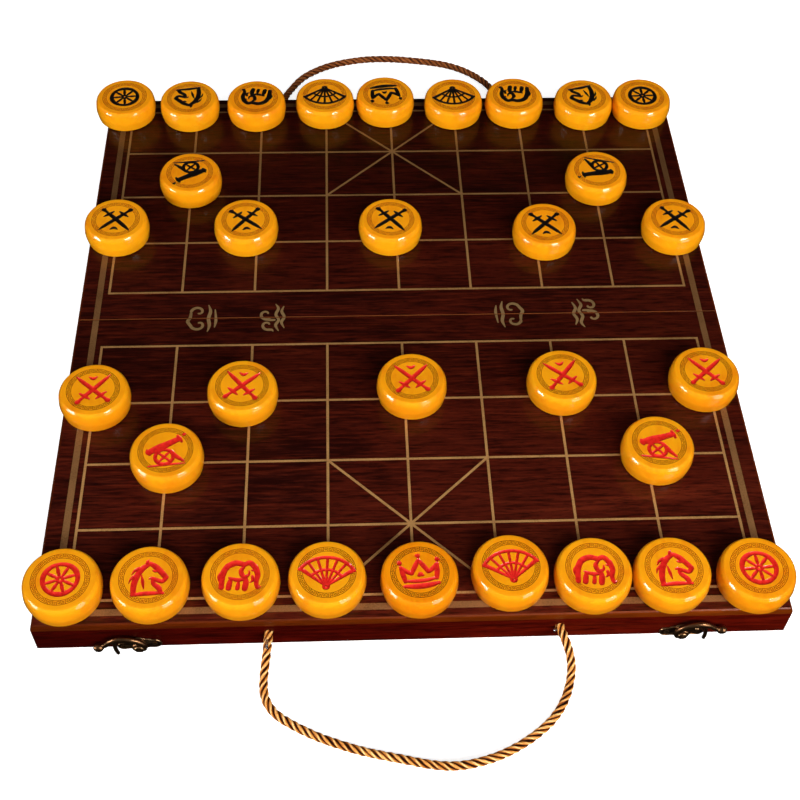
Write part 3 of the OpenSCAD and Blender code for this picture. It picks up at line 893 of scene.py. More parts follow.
for half, sy in (("back", 1), ("front", -1)):
    body = half + "_half"
    bevelled(half + "_panel", half + "_panel_wood", 0.3, panel_mat, body, 3)
    bevelled(half + "_end_rail", half + "_end_rail_wood", 0.45, rail_mat(M_RAIL), body, 2)
    bevelled(half + "_hinge_rail", half + "_hinge_rail_wood", 0.25, rail_mat(M_RAIL), body, 2)
    bevelled(half + "_side_rails", half + "_side_rails_wood", 0.25, rail_mat(M_RAIL_Y), body, 2)
    bevelled("feet_" + half, half + "_felt_feet", 0.4, lambda p: M_FELT, body, 3)
    bevelled("hinge_leaves_" + half, half + "_hinge_brass", 0.12, lambda p: M_BRASS, body, 2, tidy=False)
bevelled("hinge_pins", "hinge_pin_steel", 0.1, lambda p: M_STEEL, "back_half", 2, tidy=False)

# ------------------------------------------------------------------ lines of the board
PITCH, RANK, RIVER = 56.0, 53.9, 54.7


def bar(x0, y0, x1, y1, w):
    return Stroke([(x0, y0, w / 2), (x1, y1, w / 2)], straight=True)


class Rect:
    """An upright rectangle of line, with square corners."""

    def __init__(self, x0, y0, x1, y1):
        self.b = (min(x0, x1), min(y0, y1), max(x0, x1), max(y0, y1))
        a = self.b
        self.lines = [(np.array([(a[0], a[1]), (a[2], a[1]), (a[2], a[3]), (a[0], a[3])]), True)]
        self.c = np.array([(a[0], a[1], 0.0), (a[2], a[3], 0.0)])

    def depth(self, q):
        a = self.b
        return np.minimum.reduce([q[:, 0] - a[0], a[2] - q[:, 0], q[:, 1] - a[1], a[3] - q[:, 1]])


class Slant:
    """A straight line of constant width between two points, cut square."""

    def __init__(self, x0, y0, x1, y1, w):
        p, q = np.array([x0, y0]), np.array([x1, y1])
        d = (q - p) / np.linalg.norm(q - p)
        n = np.array([-d[1], d[0]]) * w / 2
        self.p, self.q, self.d, self.w = p, q, d, w / 2
        self.lines = [(np.array([p + n, q + n, q - n, p - n]), True)]
        self.c = np.array([(*p, w), (*q, w)])

    def depth(self, pts):
        r = pts - self.p
        along = r @ self.d
        side = np.abs(r @ np.array([-self.d[1], self.d[0]]))
        L = np.linalg.norm(self.q - self.p)
        return np.minimum.reduce([along, L - along, self.w - side])


def half_lines(s):
    """Grid of one half; s is +1 for the far half and -1 for the near one."""
    w = 0.9
    xs = [PITCH * k for k in range(-4, 5)]
    ys = [s * (RIVER / 2 + RANK * k) for k in range(5)]
    out = []
    for x in xs:
        out.append(Rect(x - w, ys[0] - s * w, x + w, ys[-1] + s * w))
    for y in ys:
        out.append(Rect(xs[0] - w, y - w, xs[-1] + w, y + w))
    a, b = ys[2], ys[4]
    out.append(Slant(-PITCH, a, PITCH, b, 1.8))
    out.append(Slant(PITCH, a, -PITCH, b, 1.8))
    return out


def half_band(s):
    out = [Rect(-233.4, s * 249.4, 233.4, s * 254.2)]
    for sx in (-1, 1):
        out.append(Rect(sx * 228.8, s * 0.4, sx * 233.4, s * 254.2))
    return out


for half, s in (("back", 1), ("front", -1)):
    grid = laid_strips(half + "_grid_lines", half_lines(s), TOP, 0.05, M_LINE)
    band = laid_strips(half + "_border_band", half_band(s), TOP, 0.05, M_BAND)
    for o in (grid, band):
        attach(o, half + "_half")

# ------------------------------------------------------------------ drawn marks


def arc(cx, cy, r, a0, a1, w, n=10, w1=None, ry=None):
    out = []
    for i in range(n + 1):
        k = i / n
        a = math.radians(a0 + (a1 - a0) * k)
        ww = w if w1 is None else w + (w1 - w) * k
        out.append((cx + r * math.cos(a), cy + (ry or r) * math.sin(a), ww))
    return out


def wheel():
    s = [Stroke([(10.2 * math.cos(a), 10.2 * math.sin(a), 1.25 + 0.15 * math.sin(3 * a)) for a in np.linspace(0, 2 * math.pi, 16, endpoint=False)], 5, closed=True)]
    for k in range(8):
        a = math.radians(45 * k + 10)
        c, d = math.cos(a), math.sin(a)
        s.append(Stroke([(2.2 * c, 2.2 * d, 0.65), (5.6 * c, 5.6 * d, 0.95), (9.4 * c, 9.4 * d, 0.65)]))
    s.append(Stroke([(0.01 + 1.7 * math.cos(a), 1.7 * math.sin(a), 0.95) for a in np.linspace(0, 2 * math.pi, 8, endpoint=False)], 4, closed=True))
    return s


def horse():
    return [
        Stroke([(-8.6, -10.6, 1.3), (-8.4, -5, 1.5), (-6.6, 1.2, 1.6), (-3.2, 6.2, 1.5), (1.2, 9.2, 1.1)]),
        Stroke([(1.0, 9.4, 1.1), (4.6, 6.6, 1.5), (7.8, 2.6, 1.5), (10.4, -1.0, 1.35)]),
        Stroke([(10.4, -1.2, 1.3), (8.4, -3.6, 1.1), (5.6, -2.6, 1.1), (2.4, -0.8, 0.85), (0.6, -1.2, 0.45)]),
        Stroke([(2.6, -1.4, 0.8), (3.2, -4.6, 1.2), (6.2, -8.0, 1.35), (7.0, -10.6, 1.2)]),
        Stroke([(-9.6, -11.4, 0.7), (-2, -10.9, 1.25), (8.6, -11.4, 0.75)]),
        Stroke([(-0.6, 8.6, 0.9), (-0.4, 10.8, 0.8), (0.6, 12.0, 0.25)]),
        Stroke([(-5.4, 6.6, 0.9), (-8.0, 5.0, 0.7), (-9.6, 2.6, 0.25)]),
        Stroke([(-7.8, 1.8, 0.8), (-10.2, -0.4, 0.6), (-11.2, -3.2, 0.2)]),
        Stroke([(3.0, 4.2, 0.55), (4.3, 3.6, 0.75), (5.2, 3.4, 0.3)]),
        Stroke([(-3.8, 1.6, 0.3), (-3.2, -3.0, 0.85), (-2.6, -7.6, 0.3)]),
    ]


def elephant():
    return [
        Stroke([(-9.8, -9.8, 1.3), (-10.0, -2.0, 1.5), (-8.0, 4.2, 1.6), (-3.0, 7.2, 1.6), (2.0, 6.6, 1.4), (5.4, 7.8, 1.4), (8.8, 4.6, 1.5)]),
        Stroke([(8.8, 4.8, 1.5), (10.6, 0.0, 1.4), (10.2, -5.2, 1.15), (11.4, -8.8, 0.95), (13.0, -8.0, 0.4)]),
        Stroke([(7.6, -1.4, 0.8), (8.0, -4.0, 0.8), (6.6, -5.6, 0.3)]),
        Stroke([(2.6, 5.6, 0.6), (0.6, 2.2, 1.2), (2.2, -1.6, 1.2), (5.2, -0.6, 0.8), (5.4, 2.2, 0.4)]),
        Stroke([(3.8, -2.4, 0.9), (4.2, -6.0, 1.5), (3.9, -10.0, 1.4)]),
        Stroke([(-6.0, -3.0, 0.6), (-1.0, -4.2, 1.15), (3.2, -3.4, 0.7)]),
        Stroke([(-5.0, -4.4, 1.0), (-5.4, -7.2, 1.4), (-5.6, -10.0, 1.4)]),
        Stroke([(-0.2, -4.8, 0.6), (-0.2, -7.4, 1.0), (-0.4, -10.0, 1.1)]),
        Stroke([(-10.8, 1.0, 0.5), (-12.2, -2.2, 0.7), (-12.0, -5.4, 0.3)]),
        Stroke([(6.8, 3.0, 0.35), (7.4, 2.7, 0.6), (7.9, 2.6, 0.3)]),
    ]


def fan():
    s = [Stroke(arc(0, -9.6, 19.6, 34, 146, 0.95, 12)), Stroke(arc(0, -9.6, 11.2, 36, 144, 0.8, 10))]
    for k in range(7):
        a = math.radians(36 + 18 * k)
        c, d = math.cos(a), math.sin(a)
        s.append(Stroke([(2.2 * c, -9.6 + 2.2 * d, 0.7), (10 * c, -9.6 + 10 * d, 0.95 if k in (0, 6) else 0.7),
                         (19.0 * c, -9.6 + 19.0 * d, 1.15 if k in (0, 6) else 0.75)]))
    s.append(Stroke([(0.01 + 1.3 * math.cos(a), -9.8 + 1.3 * math.sin(a), 0.9) for a in np.linspace(0, 2 * math.pi, 8, endpoint=False)], 4, closed=True))
    return s


def crown():
    return [
        Stroke([(-10.2, -8.8, 0.9), (-3, -9.6, 1.5), (4, -9.5, 1.5), (10.2, -8.6, 0.9)]),
        Stroke([(-9.6, -5.2, 0.7), (-3, -6.0, 1.05), (4, -5.9, 1.05), (9.6, -5.0, 0.7)]),
        Stroke([(-9.4, -5.4, 1.1), (-10.2, -0.4, 1.3), (-11.0, 4.6, 0.8)]),
        Stroke([(-10.8, 4.4, 0.8), (-7.6, 1.0, 1.2), (-5.0, -0.6, 1.1)]),
        Stroke([(-5.0, -0.6, 1.0), (-2.6, 3.6, 1.3), (0.2, 8.4, 0.9)]),
        Stroke([(0.2, 8.4, 0.9), (2.8, 3.8, 1.3), (5.0, -0.4, 1.0)]),
        Stroke([(5.0, -0.4, 1.1), (7.8, 1.2, 1.2), (11.0, 4.8, 0.8)]),
        Stroke([(11.0, 4.8, 0.8), (10.4, -0.2, 1.3), (9.4, -5.2, 1.1)]),
        Stroke([(-11.6, 7.0, 0.9), (-11.2, 7.4, 1.35), (-10.8, 7.6, 0.9)]),
        Stroke([(0.0, 11.0, 0.9), (0.3, 11.4, 1.45), (0.6, 11.7, 0.9)]),
        Stroke([(11.0, 7.2, 0.9), (11.5, 7.6, 1.35), (11.9, 7.7, 0.9)]),
        Stroke([(-1.2, -2.6, 0.6), (0.2, -1.6, 1.3), (1.6, -2.6, 0.6)]),
    ]


def cannon():
    s = [
        Stroke([(-9.6, -0.4, 1.9), (-4.0, 2.0, 2.3), (3.0, 5.0, 1.9), (8.6, 7.6, 1.7)]),
        Stroke([(8.0, 10.2, 0.7), (9.4, 7.9, 1.0), (10.4, 5.2, 0.7)]),
        Stroke([(-10.0, -2.6, 0.8), (-11.4, -0.9, 1.0), (-11.6, 1.4, 0.5)]),
        Stroke([(-1.0 + 5.6 * math.cos(a), -5.4 + 5.6 * math.sin(a), 1.05) for a in np.linspace(0, 2 * math.pi, 14, endpoint=False)], 5, closed=True),
        Stroke([(3.2, -1.4, 1.0), (6.6, -6.0, 1.25), (10.8, -9.8, 0.7)]),
        Stroke([(-11.2, -11.8, 0.5), (0, -11.6, 0.8), (11.6, -11.8, 0.4)]),
        Stroke([(11.6, 10.4, 0.6), (12.2, 11.0, 1.0), (12.8, 11.4, 0.6)]),
    ]
    for k in range(4):
        a = math.radians(45 + 90 * k)
        s.append(Stroke([(-1.0, -5.4, 0.85), (-1.0 + 5.4 * math.cos(a), -5.4 + 5.4 * math.sin(a), 0.6)], straight=True))
    return s


def swords():
    s = []
    for m in (-1, 1):
        s.append(Stroke([(m * 11.0, 11.4, 0.25), (m * 7.6, 7.6, 1.15), (0, -0.2, 1.35), (-m * 5.2, -5.4, 1.2)]))
        s.append(Stroke([(-m * 2.2, -8.0, 0.5), (-m * 5.2, -5.4, 1.15), (-m * 8.6, -2.8, 0.5)]))
        s.append(Stroke([(-m * 5.6, -5.8, 0.9), (-m * 8.2, -8.4, 1.0), (-m * 9.6, -9.8, 1.5), (-m * 9.9, -10.1, 1.3)]))
    s.append(Stroke([(-2.6, 10.6, 0.4), (0.0, 9.0, 1.1), (2.6, 10.6, 0.4)]))
    return s


def bold(art, grow=1.04, thick=1.28):
    """The same drawing, a little larger and with heavier strokes."""
    out = []
    for st in art():
        n = Stroke.__new__(Stroke)
        c = st.c.copy()
        c[:, :2] *= grow
        c[:, 2] *= thick
        pts = c
        n.__init__(pts, straight=True, closed=st.closed)
        out.append(n)
    return out


MARKS = {"chariot": wheel, "horse": horse, "elephant": elephant, "advisor": fan, "general": crown, "cannon": cannon,
         "soldier": swords}

# ------------------------------------------------------------------ playing pieces
PIECE_H = 18.5
RIM_R = 21.0
SEG = 96
PROFILE = [(22.0, 18.48), (22.5, 18.42), (22.76, 18.33), (22.93, 18.2), (23.07, 18.04), (23.3, 17.74), (23.87, 16.95),
           (24.23, 16.35), (24.5, 15.7), (24.68, 15.1), (24.85, 14.3), (25.0, 13.3), (25.25, 11.3), (25.46, 9.25),
           (25.4, 7.7), (25.2, 6.3), (24.95, 4.6), (24.7, 3.1), (24.48, 1.9), (24.26, 1.05), (23.86, 0.5), (23.2, 0.13),
           (22.0, 0.0)]


def fret_polys():
    """The meander between the two ring lines: square spirals, mirrored by turns."""
    n, r0, h = 40, 15.72, 2.8
    pitch = 2 * math.pi / n
    rm = r0 + h / 2
    path = np.array([(0.26, 0.1), (0.26, 2.2), (2.06, 2.2), (2.06, 0.85), (1.16, 0.85), (1.16, 1.4)])
    hw = 0.185
    polys, segs = [], []
    d = np.diff(path, axis=0)
    d /= np.linalg.norm(d, axis=1)[:, None]
    left, right = [], []
    for i in range(len(path)):
        if i == 0:
            nn = np.array([-d[0][1], d[0][0]]); off = nn; ext = -d[0] * hw
        elif i == len(path) - 1:
            nn = np.array([-d[-1][1], d[-1][0]]); off = nn; ext = d[-1] * hw
        else:
            n1 = np.array([-d[i - 1][1], d[i - 1][0]]); n2 = np.array([-d[i][1], d[i][0]])
            off = (n1 + n2); ext = np.zeros(2)
        left.append(path[i] + off * hw + ext)
        right.append(path[i] - off * hw + ext)
    ring = np.array(left + right[::-1])
    for k in range(n):
        flip = k % 2
        q = ring.copy()
        p = path.copy()
        if flip:
            q[:, 1] = h - q[:, 1]
            p[:, 1] = h - p[:, 1]
        for src, dst in ((q, polys), (p, segs)):
            a = k * pitch + src[:, 0] / rm
            r = r0 + src[:, 1]
            dst.append(np.stack([r * np.cos(a), r * np.sin(a)], axis=1))
    return polys, segs, hw


FRET_POLYS, FRET_SEGS, FRET_W = fret_polys()
RING_LINES = ((18.50, 18.88), (15.36, 15.72))


def in_fret(q):
    r = np.linalg.norm(q, axis=1)
    hit = np.zeros(len(q), bool)
    for a, b in RING_LINES:
        hit |= (r > a) & (r < b)
    band = (r > 15.6) & (r < 18.55)
    idx = np.nonzero(band)[0]
    if len(idx):
        pts = q[idx]
        best = np.full(len(pts), 1e9)
        for seg in FRET_SEGS:
            c = seg.mean(0)
            near = np.linalg.norm(pts - c, axis=1) < 3.2
            if not near.any():
                continue
            for i in range(len(seg) - 1):
                p0, d = seg[i], seg[i + 1] - seg[i]
                t = np.clip(((pts[near] - p0) @ d) / (d @ d), 0, 1)
                dist = np.max(np.abs(pts[near] - p0 - t[:, None] * d), axis=1) * 0 + np.linalg.norm(pts[near] - p0 - t[:, None] * d, axis=1)
                best[near] = np.minimum(best[near], dist)
        hit[idx] |= best < FRET_W + 0.02
    return hit


def top_template(strokes):
    """The piece's face: triangles with the ring and the mark as exact outlines, cut in."""
    verts, edges = [], []

    def circle(r, n, off=0.0):
        a = 2 * math.pi * (np.arange(n) + off) / n
        line_edges(np.stack([r * np.cos(a), r * np.sin(a)], axis=1), True, verts, edges)

    circle(RIM_R, SEG)
    for a, b in RING_LINES:
        circle(a, 112)
        circle(b, 112, 0.5)
    circle(19.9, 72)
    for poly in FRET_POLYS:
        line_edges(poly, True, verts, edges)
    for s in strokes:
        for pts, closed in s.lines:
            line_edges(pts, closed, verts, edges)
        for pts, closed in s.inner:
            line_edges(pts, closed, verts, edges)
    for r, n in ((13.6, 40), (9.5, 28), (5.5, 16), (2.5, 8)):
        for k in range(n):
            a = 2 * math.pi * k / n
            verts.append(Vector((r * math.cos(a), r * math.sin(a))))
    v, e, f, *_ = delaunay_2d_cdt(verts, edges, [], 0, 1e-4)
    q = np.array([[a.x, a.y] for a in v])
    faces = [list(t) for t in f]
    mid = np.array([q[t].mean(0) for t in faces])
    mark = depth_of(strokes, mid) > 0
    ring = in_fret(mid)
    dv = depth_of(strokes, q)
    z = np.zeros(len(q))
    k = np.clip(dv / 0.95, 0, 1)
    z -= 0.62 * (k * (2 - k))
    touches = np.zeros(len(q), bool)
    for t, hit in zip(faces, ring):
        if hit:
            touches[t] = True
    outside = np.zeros(len(q), bool)
    for t, hit, mk in zip(faces, ring, mark):
        if not hit:
            outside[t] = True
    z[touches & ~outside] -= 0.12
    idx = np.where(mark, 2, np.where(ring, 1, 0))
    return q, z, faces, idx


def piece_template(kind):
    q, z, faces, idx = top_template(bold(MARKS[kind], 1.08, 1.34))
    verts = [(x, y, PIECE_H + h) for (x, y), h in zip(q, z)]
    faces = [tuple(t) for t in faces]
    idx = list(idx)
    rim = {}
    r = np.linalg.norm(q, axis=1)
    for i in np.nonzero(np.abs(r - RIM_R) < 1e-3)[0]:
        k = int(round(math.atan2(q[i][1], q[i][0]) / (2 * math.pi / SEG))) % SEG
        rim[k] = int(i)
    prev = [rim[k] for k in range(SEG)]
    for rr, zz in PROFILE:
        row = []
        for k in range(SEG):
            a = 2 * math.pi * k / SEG
            row.append(len(verts))
            verts.append((rr * math.cos(a), rr * math.sin(a), zz))
        for k in range(SEG):
            j = (k + 1) % SEG
            faces.append((prev[k], row[k], row[j], prev[j]))
            idx.append(0)
        prev = row
    c = len(verts)
    verts.append((0, 0, 0))
    for k in range(SEG):
        faces.append((prev[k], c, prev[(k + 1) % SEG]))
        idx.append(0)
    return np.array(verts), faces, idx


TEMPLATES = {k: piece_template(k) for k in MARKS}


def cross_y(k):
    return (k - 4) * RANK - RIVER / 2 if k < 5 else (k - 5) * RANK + RIVER / 2


# name: file, rank, dx, dy, turn in degrees, tone
PIECES = {
    "red_chariot_left": (0, 0, -1.5, 5.5, 8, 0.0), "red_horse_left": (1, 0, -2, 5.5, 4, 0.05),
    "red_elephant_left": (2, 0, 0, 6.5, -4, 0.0), "red_advisor_left": (3, 0, -0.5, 6.5, -3, 0.0),
    "red_general": (4, 0, 3, 5, 6, 0.75), "red_advisor_right": (5, 0, 6, 8.5, 5, 0.3),
    "red_elephant_right": (6, 0, 3.8, 5, -6, 0.0), "red_horse_right": (7, 0, -0.8, 4, 3, 0.0),
    "red_chariot_right": (8, 0, -1.5, 2.5, -5, 0.2), "red_cannon_left": (1, 2, 1.5, -2, 6, 0.1),
    "red_cannon_right": (7, 2, 6, -3.5, -8, 0.0), "red_soldier_1": (0, 3, 2.5, -1.5, 4, 0.15),
    "red_soldier_2": (2, 3, -4.5, 0, -5, 0.0), "red_soldier_3": (4, 3, 5, 4, 2, 0.1),
    "red_soldier_4": (6, 3, 2, 5, 7, 0.0), "red_soldier_5": (8, 3, -5.5, 6, -3, 0.15),
    "black_chariot_left": (0, 9, -5.5, -1, 176, 0.2), "black_horse_left": (1, 9, -6, -3, 190, 0.1),
    "black_elephant_left": (2, 9, -4.5, -3.5, 172, 0.35), "black_advisor_left": (3, 9, -1, -1, 180, 0.15),
    "black_general": (4, 9, -4.5, 0.5, 188, 0.2), "black_advisor_right": (5, 9, -1, -3, 182, 0.2),
    "black_elephant_right": (6, 9, -3.5, -2.5, 174, 0.3), "black_horse_right": (7, 9, 1, -5.5, 196, 0.1),
    "black_chariot_right": (8, 9, -3.5, -5, 172, 0.25), "black_cannon_left": (1, 7, 0.5, 9.5, 186, 0.3),
    "black_cannon_right": (7, 7, 0, 7, 165, 0.25), "black_soldier_1": (0, 6, 1.5, 9, 178, 0.0),
    "black_soldier_2": (2, 6, -8, 7, 186, 0.1), "black_soldier_3": (4, 6, -5, 6, 174, 0.1),
    "black_soldier_4": (6, 6, 6, -1.5, 180, 0.35), "black_soldier_5": (8, 6, -1, 2.5, 170, 0.2)}

for name, (fl, rk, dx, dy, turn, tone) in PIECES.items():
    kind = name.split("_")[1]
    tv, tf, ti = TEMPLATES[kind]
    a = math.radians(turn)
    ca, sa = math.cos(a), math.sin(a)
    x0, y0 = (fl - 4) * PITCH + dx, cross_y(rk) + dy
    v = np.empty_like(tv)
    v[:, 0] = tv[:, 0] * ca - tv[:, 1] * sa + x0
    v[:, 1] = tv[:, 0] * sa + tv[:, 1] * ca + y0
    v[:, 2] = tv[:, 2] + TOP
    red = name.startswith("red")
    ring = M_RING_DARK if name == "red_general" else (M_RING_FAR if not red else M_RING_DEEP if kind in ("soldier", "cannon", "advisor") else M_RING)
    ob = make(name + "_amber", v * MM, tf, [M_AMBER if red else M_AMBER_FAR, ring, M_RED if red else M_BLACK], ti, 0)
    me = ob.data
    me.shade_smooth()
    bm = bmesh.new()
    bm.from_mesh(me)
    for e in bm.edges:
        if len(e.link_faces) == 2 and e.link_faces[0].material_index != e.link_faces[1].material_index:
            e.smooth = False
    bm.to_mesh(me)
    bm.free()
    at = me.attributes.new("tone", "FLOAT", "POINT")
    at.data.foreach_set("value", np.full(len(tv), tone, np.float32))
    # side: 0 near the top, rising to 1 low on the side; the amber material uses it to paint light or shade onto the
    # lower side
    at = me.attributes.new("side", "FLOAT", "POINT")
    at.data.foreach_set("value", np.clip((PIECE_H - 1.0 - tv[:, 2]) / 7.0, 0, 1).astype(np.float32))
    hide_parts(name)
    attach(ob, name)

# ------------------------------------------------------------------ river ornaments: cloud and wave scrolls


def moved(strokes, cx, cy, turn, k=1.0):
    a = math.radians(turn)
    ca, sa = math.cos(a), math.sin(a)
    out = []
    for pts in strokes:
        out.append(Stroke([(cx + k * (x * ca - y * sa), cy + k * (x * sa + y * ca), w * k) for x, y, w in pts]))
    return out


def scroll(cx, cy, r, turn, sign, w):
    return [(cx + r * (1 - 0.72 * t) * math.cos(math.radians(turn) + sign * 4.4 * t),
             cy + r * (1 - 0.72 * t) * math.sin(math.radians(turn) + sign * 4.4 * t), w * (1 - 0.35 * t)) for t in np.linspace(0, 1, 11)]


CLOUD = [
    scroll(-6.0, 1.5, 6.0, 100, 1, 1.25), scroll(6.4, 2.2, 5.4, 80, -1, 1.2),
    [(-7.0, 7.4, 1.2), (-3.0, 9.6, 1.3), (1.0, 8.0, 1.2), (5.4, 7.6, 1.0)],
    [(-13.0, -5.4, 0.4), (-7.0, -6.6, 1.2), (0.0, -5.6, 1.3), (7.0, -6.8, 1.2), (13.2, -5.2, 0.4)],
    [(-9.0, -10.4, 0.4), (-2.0, -11.2, 1.1), (8.6, -10.2, 0.4)]]
WAVE = [
    scroll(-7.6, 2.2, 5.2, 200, -1, 1.2), scroll(3.4, 3.4, 5.8, 205, -1, 1.25),
    [(-14.0, -2.0, 0.4), (-12.6, -1.0, 1.0), (-12.4, 1.2, 1.1)],
    [(-2.6, -2.8, 0.9), (-2.6, 0.4, 1.1), (-1.8, 2.8, 1.1)],
    [(-13.6, -6.0, 0.4), (-8.0, -3.8, 1.15), (-2.6, -6.0, 1.1), (3.0, -3.8, 1.15), (9.0, -5.6, 1.1), (13.6, -3.6, 0.4)],
    [(-10.6, -10.2, 0.4), (-5.0, -8.2, 1.1), (0.4, -10.2, 1.1), (6.0, -8.2, 1.1), (11.2, -9.8, 0.4)]]

RIVER_MARKS = [(-152, CLOUD, 90, 1.02), (-99, WAVE, 90, 1.0), (84.5, CLOUD, -90, 1.0), (144, WAVE, -90, 1.05)]


def river_half(s):
    """The part of the ornaments that lies on one half, cut at the seam."""
    strokes = []
    for cx, art, turn, k in RIVER_MARKS:
        strokes += moved(art, cx, 0.0, turn, k)
    verts, edges = [], []
    for st in strokes:
        for pts, closed in st.lines:
            line_edges(pts, closed, verts, edges)
    line_edges(np.array([(-240, s * 0.42), (240, s * 0.42)]), False, verts, edges)
    v, e, f, *_ = delaunay_2d_cdt(verts, edges, [], 0, 1e-5)
    q = np.array([[a.x, a.y] for a in v])
    tri = [list(t) for t in f]
    mid = np.array([q[t].mean(0) for t in tri])
    keep = (depth_of(strokes, mid) > 0) & (mid[:, 1] * s > 0.42)
    used, out_f = {}, []
    for t, k in zip(tri, keep):
        if k:
            out_f.append([used.setdefault(i, len(used)) for i in t])
    order = sorted(used, key=used.get)
    n = len(order)
    vv = [(q[i][0] * MM, q[i][1] * MM, (TOP + 0.05) * MM) for i in order] + [(q[i][0] * MM, q[i][1] * MM, (TOP - 0.03) * MM) for i in order]
    have = {(a, b) for t in out_f for a, b in zip(t, t[1:] + t[:1])}
    sides = [(b, a, a + n, b + n) for a, b in have if (b, a) not in have]
    return vv, [tuple(t) for t in out_f] + sides + [tuple(i + n for i in t[::-1]) for t in out_f]


for half, s in (("back", 1), ("front", -1)):
    vv, ff = river_half(s)
    o = outward(make(half + "_river_scrolls", vv, ff, [M_RIVER], None, 0))
    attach(o, half + "_half")

# ------------------------------------------------------------------ latches


def to_face(s, turn=0.0, lift=0.0, front=True, cx=None, cz=PIVOT_Z):
    """Local (u outwards, v up, w away from the face) in mm, to metres in the row frame."""
    a = math.radians(turn)
    ca, sa = math.cos(a), math.sin(a)
    cx = PIVOT_X[s] if cx is None else cx

    def f(p):
        u, v, w = p
        u, v = u * ca - v * sa, u * sa + v * ca
        y = -END_Y - lift - w if front else END_Y + lift + w
        return (s * (cx + u) * MM, y * MM, (cz + v) * MM)
    return f


def plate_depth(circles, box, q):
    best = np.full(len(q), -1e9)
    for x, y, r in circles:
        best = np.maximum(best, r - np.linalg.norm(q - np.array([x, y]), axis=1))
    x0, y0, x1, y1 = box
    best = np.maximum(best, np.minimum.reduce([q[:, 0] - x0, x1 - q[:, 0], q[:, 1] - y0, y1 - q[:, 1]]))
    return best


def lobed_plate(circles, box, centre, rows, n=200):
    """A plate with a lobed outline: rows are (inset, height), from the face to the middle."""
    c = np.array(centre)
    a = 2 * np.pi * np.arange(n) / n
    d = np.stack([np.cos(a), np.sin(a)], axis=1)
    lo, hi = np.zeros(n), np.full(n, 40.0)
    for _ in range(40):
        m = (lo + hi) / 2
        ins = plate_depth(circles, box, c + d * m[:, None]) > 0
        # the farthest crossing counts, because every lobe is seen from the middle
        lo, hi = np.where(ins, m, lo), np.where(ins, hi, m)
    r = lo
    r = np.convolve(np.r_[r[-2:], r, r[:2]], [0.1, 0.2, 0.4, 0.2, 0.1], "valid")
    rings = []
    for inset, h in rows:
        rr = np.maximum(r - inset, 0.02)
        rings.append([(c[0] + d[k][0] * rr[k], c[1] + d[k][1] * rr[k], h) for k in range(n)])
    return sweep_rings(rings)


def tube(points, section=12, flat=1.0):
    """A round bar along (x, y, z, radius) points."""
    p = spline(points, 6)
    t, n, b = frames(p[:, :3])
    rings = []
    for i in range(len(p)):
        rings.append([tuple(p[i, :3] + p[i, 3] * (math.cos(q) * n[i] + math.sin(q) * b[i] * flat)) for q in 2 * math.pi * np.arange(section) / section])
    return sweep_rings(rings)


def ball(centre, r, sx=1.0, sy=1.0, sz=1.0, n=20):
    prof = [(math.sin(math.pi * k / 14) * r, -math.cos(math.pi * k / 14) * r) for k in range(15)]
    prof[0] = (0, -r)
    prof[-1] = (0, r)
    v, f = lathe(prof, n)
    return [(centre[0] + x * sx, centre[1] + y * sy, centre[2] + z * sz) for x, y, z in v], f


def screw_head(r, drive=0.72, dome=0.28, deep=0.45):
    """A countersunk head with a cross recess, its rim at height 0."""
    verts, edges = [], []
    for rr, n in ((r, 40), (r * 0.86, 32)):
        a = 2 * math.pi * np.arange(n) / n
        line_edges(np.stack([rr * np.cos(a), rr * np.sin(a)], axis=1), True, verts, edges)
    w, L = r * 0.13, r * drive
    plus = [(L, w), (w, w), (w, L), (-w, L), (-w, w), (-L, w), (-L, -w), (-w, -w), (-w, -L), (w, -L), (w, -w), (L, -w)]
    line_edges(np.array(plus), True, verts, edges)
    small = [(x * 0.8 if abs(x) > w else x * 0.62, y * 0.8 if abs(y) > w else y * 0.62) for x, y in plus]
    line_edges(np.array(small), True, verts, edges)
    v, e, f, *_ = delaunay_2d_cdt(verts, edges, [], 0, 1e-5)
    q = np.array([[a.x, a.y] for a in v])
    h = dome * np.clip(1 - (np.linalg.norm(q, axis=1) / r) ** 2, 0, 1)
    inner = [(abs(x) <= L * 0.81 and abs(y) <= w * 0.64) or (abs(y) <= L * 0.81 and abs(x) <= w * 0.64) for x, y in q]
    h = np.where(inner, -deep, h)
    n0 = len(q)
    out = [(x, y, z) for (x, y), z in zip(q, h)]
    faces = [tuple(t) for t in f]
    rim = [i for i in range(n0) if abs(np.linalg.norm(q[i]) - r) < 1e-4]
    rim.sort(key=lambda i: math.atan2(q[i][1], q[i][0]))
    low = []
    for i in rim:
        low.append(len(out))
        out.append((q[i][0] * 0.5, q[i][1] * 0.5, -0.8))
    m = len(rim)
    for k in range(m):
        faces.append((rim[k], low[k], low[(k + 1) % m], rim[(k + 1) % m]))
    faces.append(tuple(low[::-1]))
    return out, faces


PLATE_CIRCLES = [(-9.3, -2, 4.9), (-4.5, -1.2, 5.6), (0, 0, 6.2), (6, -1.8, 4.8), (11.4, -2.6, 4.0)]
PLATE_BOX = (-9.3, -5.4, 10.7, 1.6)
PLATE_ROWS = [(0.3, 0.04), (0.05, 0.18), (0.0, 0.5), (0.05, 0.9), (0.28, 1.2), (0.62, 1.34), (0.98, 1.24), (1.25, 1.0),
              (1.6, 0.84), (2.4, 0.80), (3.6, 0.80), (30.0, 0.80)]
LATCH_HOLES = [(-9.3, -2), (11.4, -2.6)]
ARM = [(-2.6, -2.6, 1.9), (-3.2, 0.6, 2.3), (-2.5, 4.4, 2.6), (0.3, 7.9, 2.7), (4.6, 10.3, 2.7), (9.0, 11.2, 2.6),
       (13.2, 10.9, 2.5), (17.0, 9.0, 2.3), (19.8, 6.0, 2.1), (22.0, 3.6, 2.0), (24.2, 2.4, 2.2)]
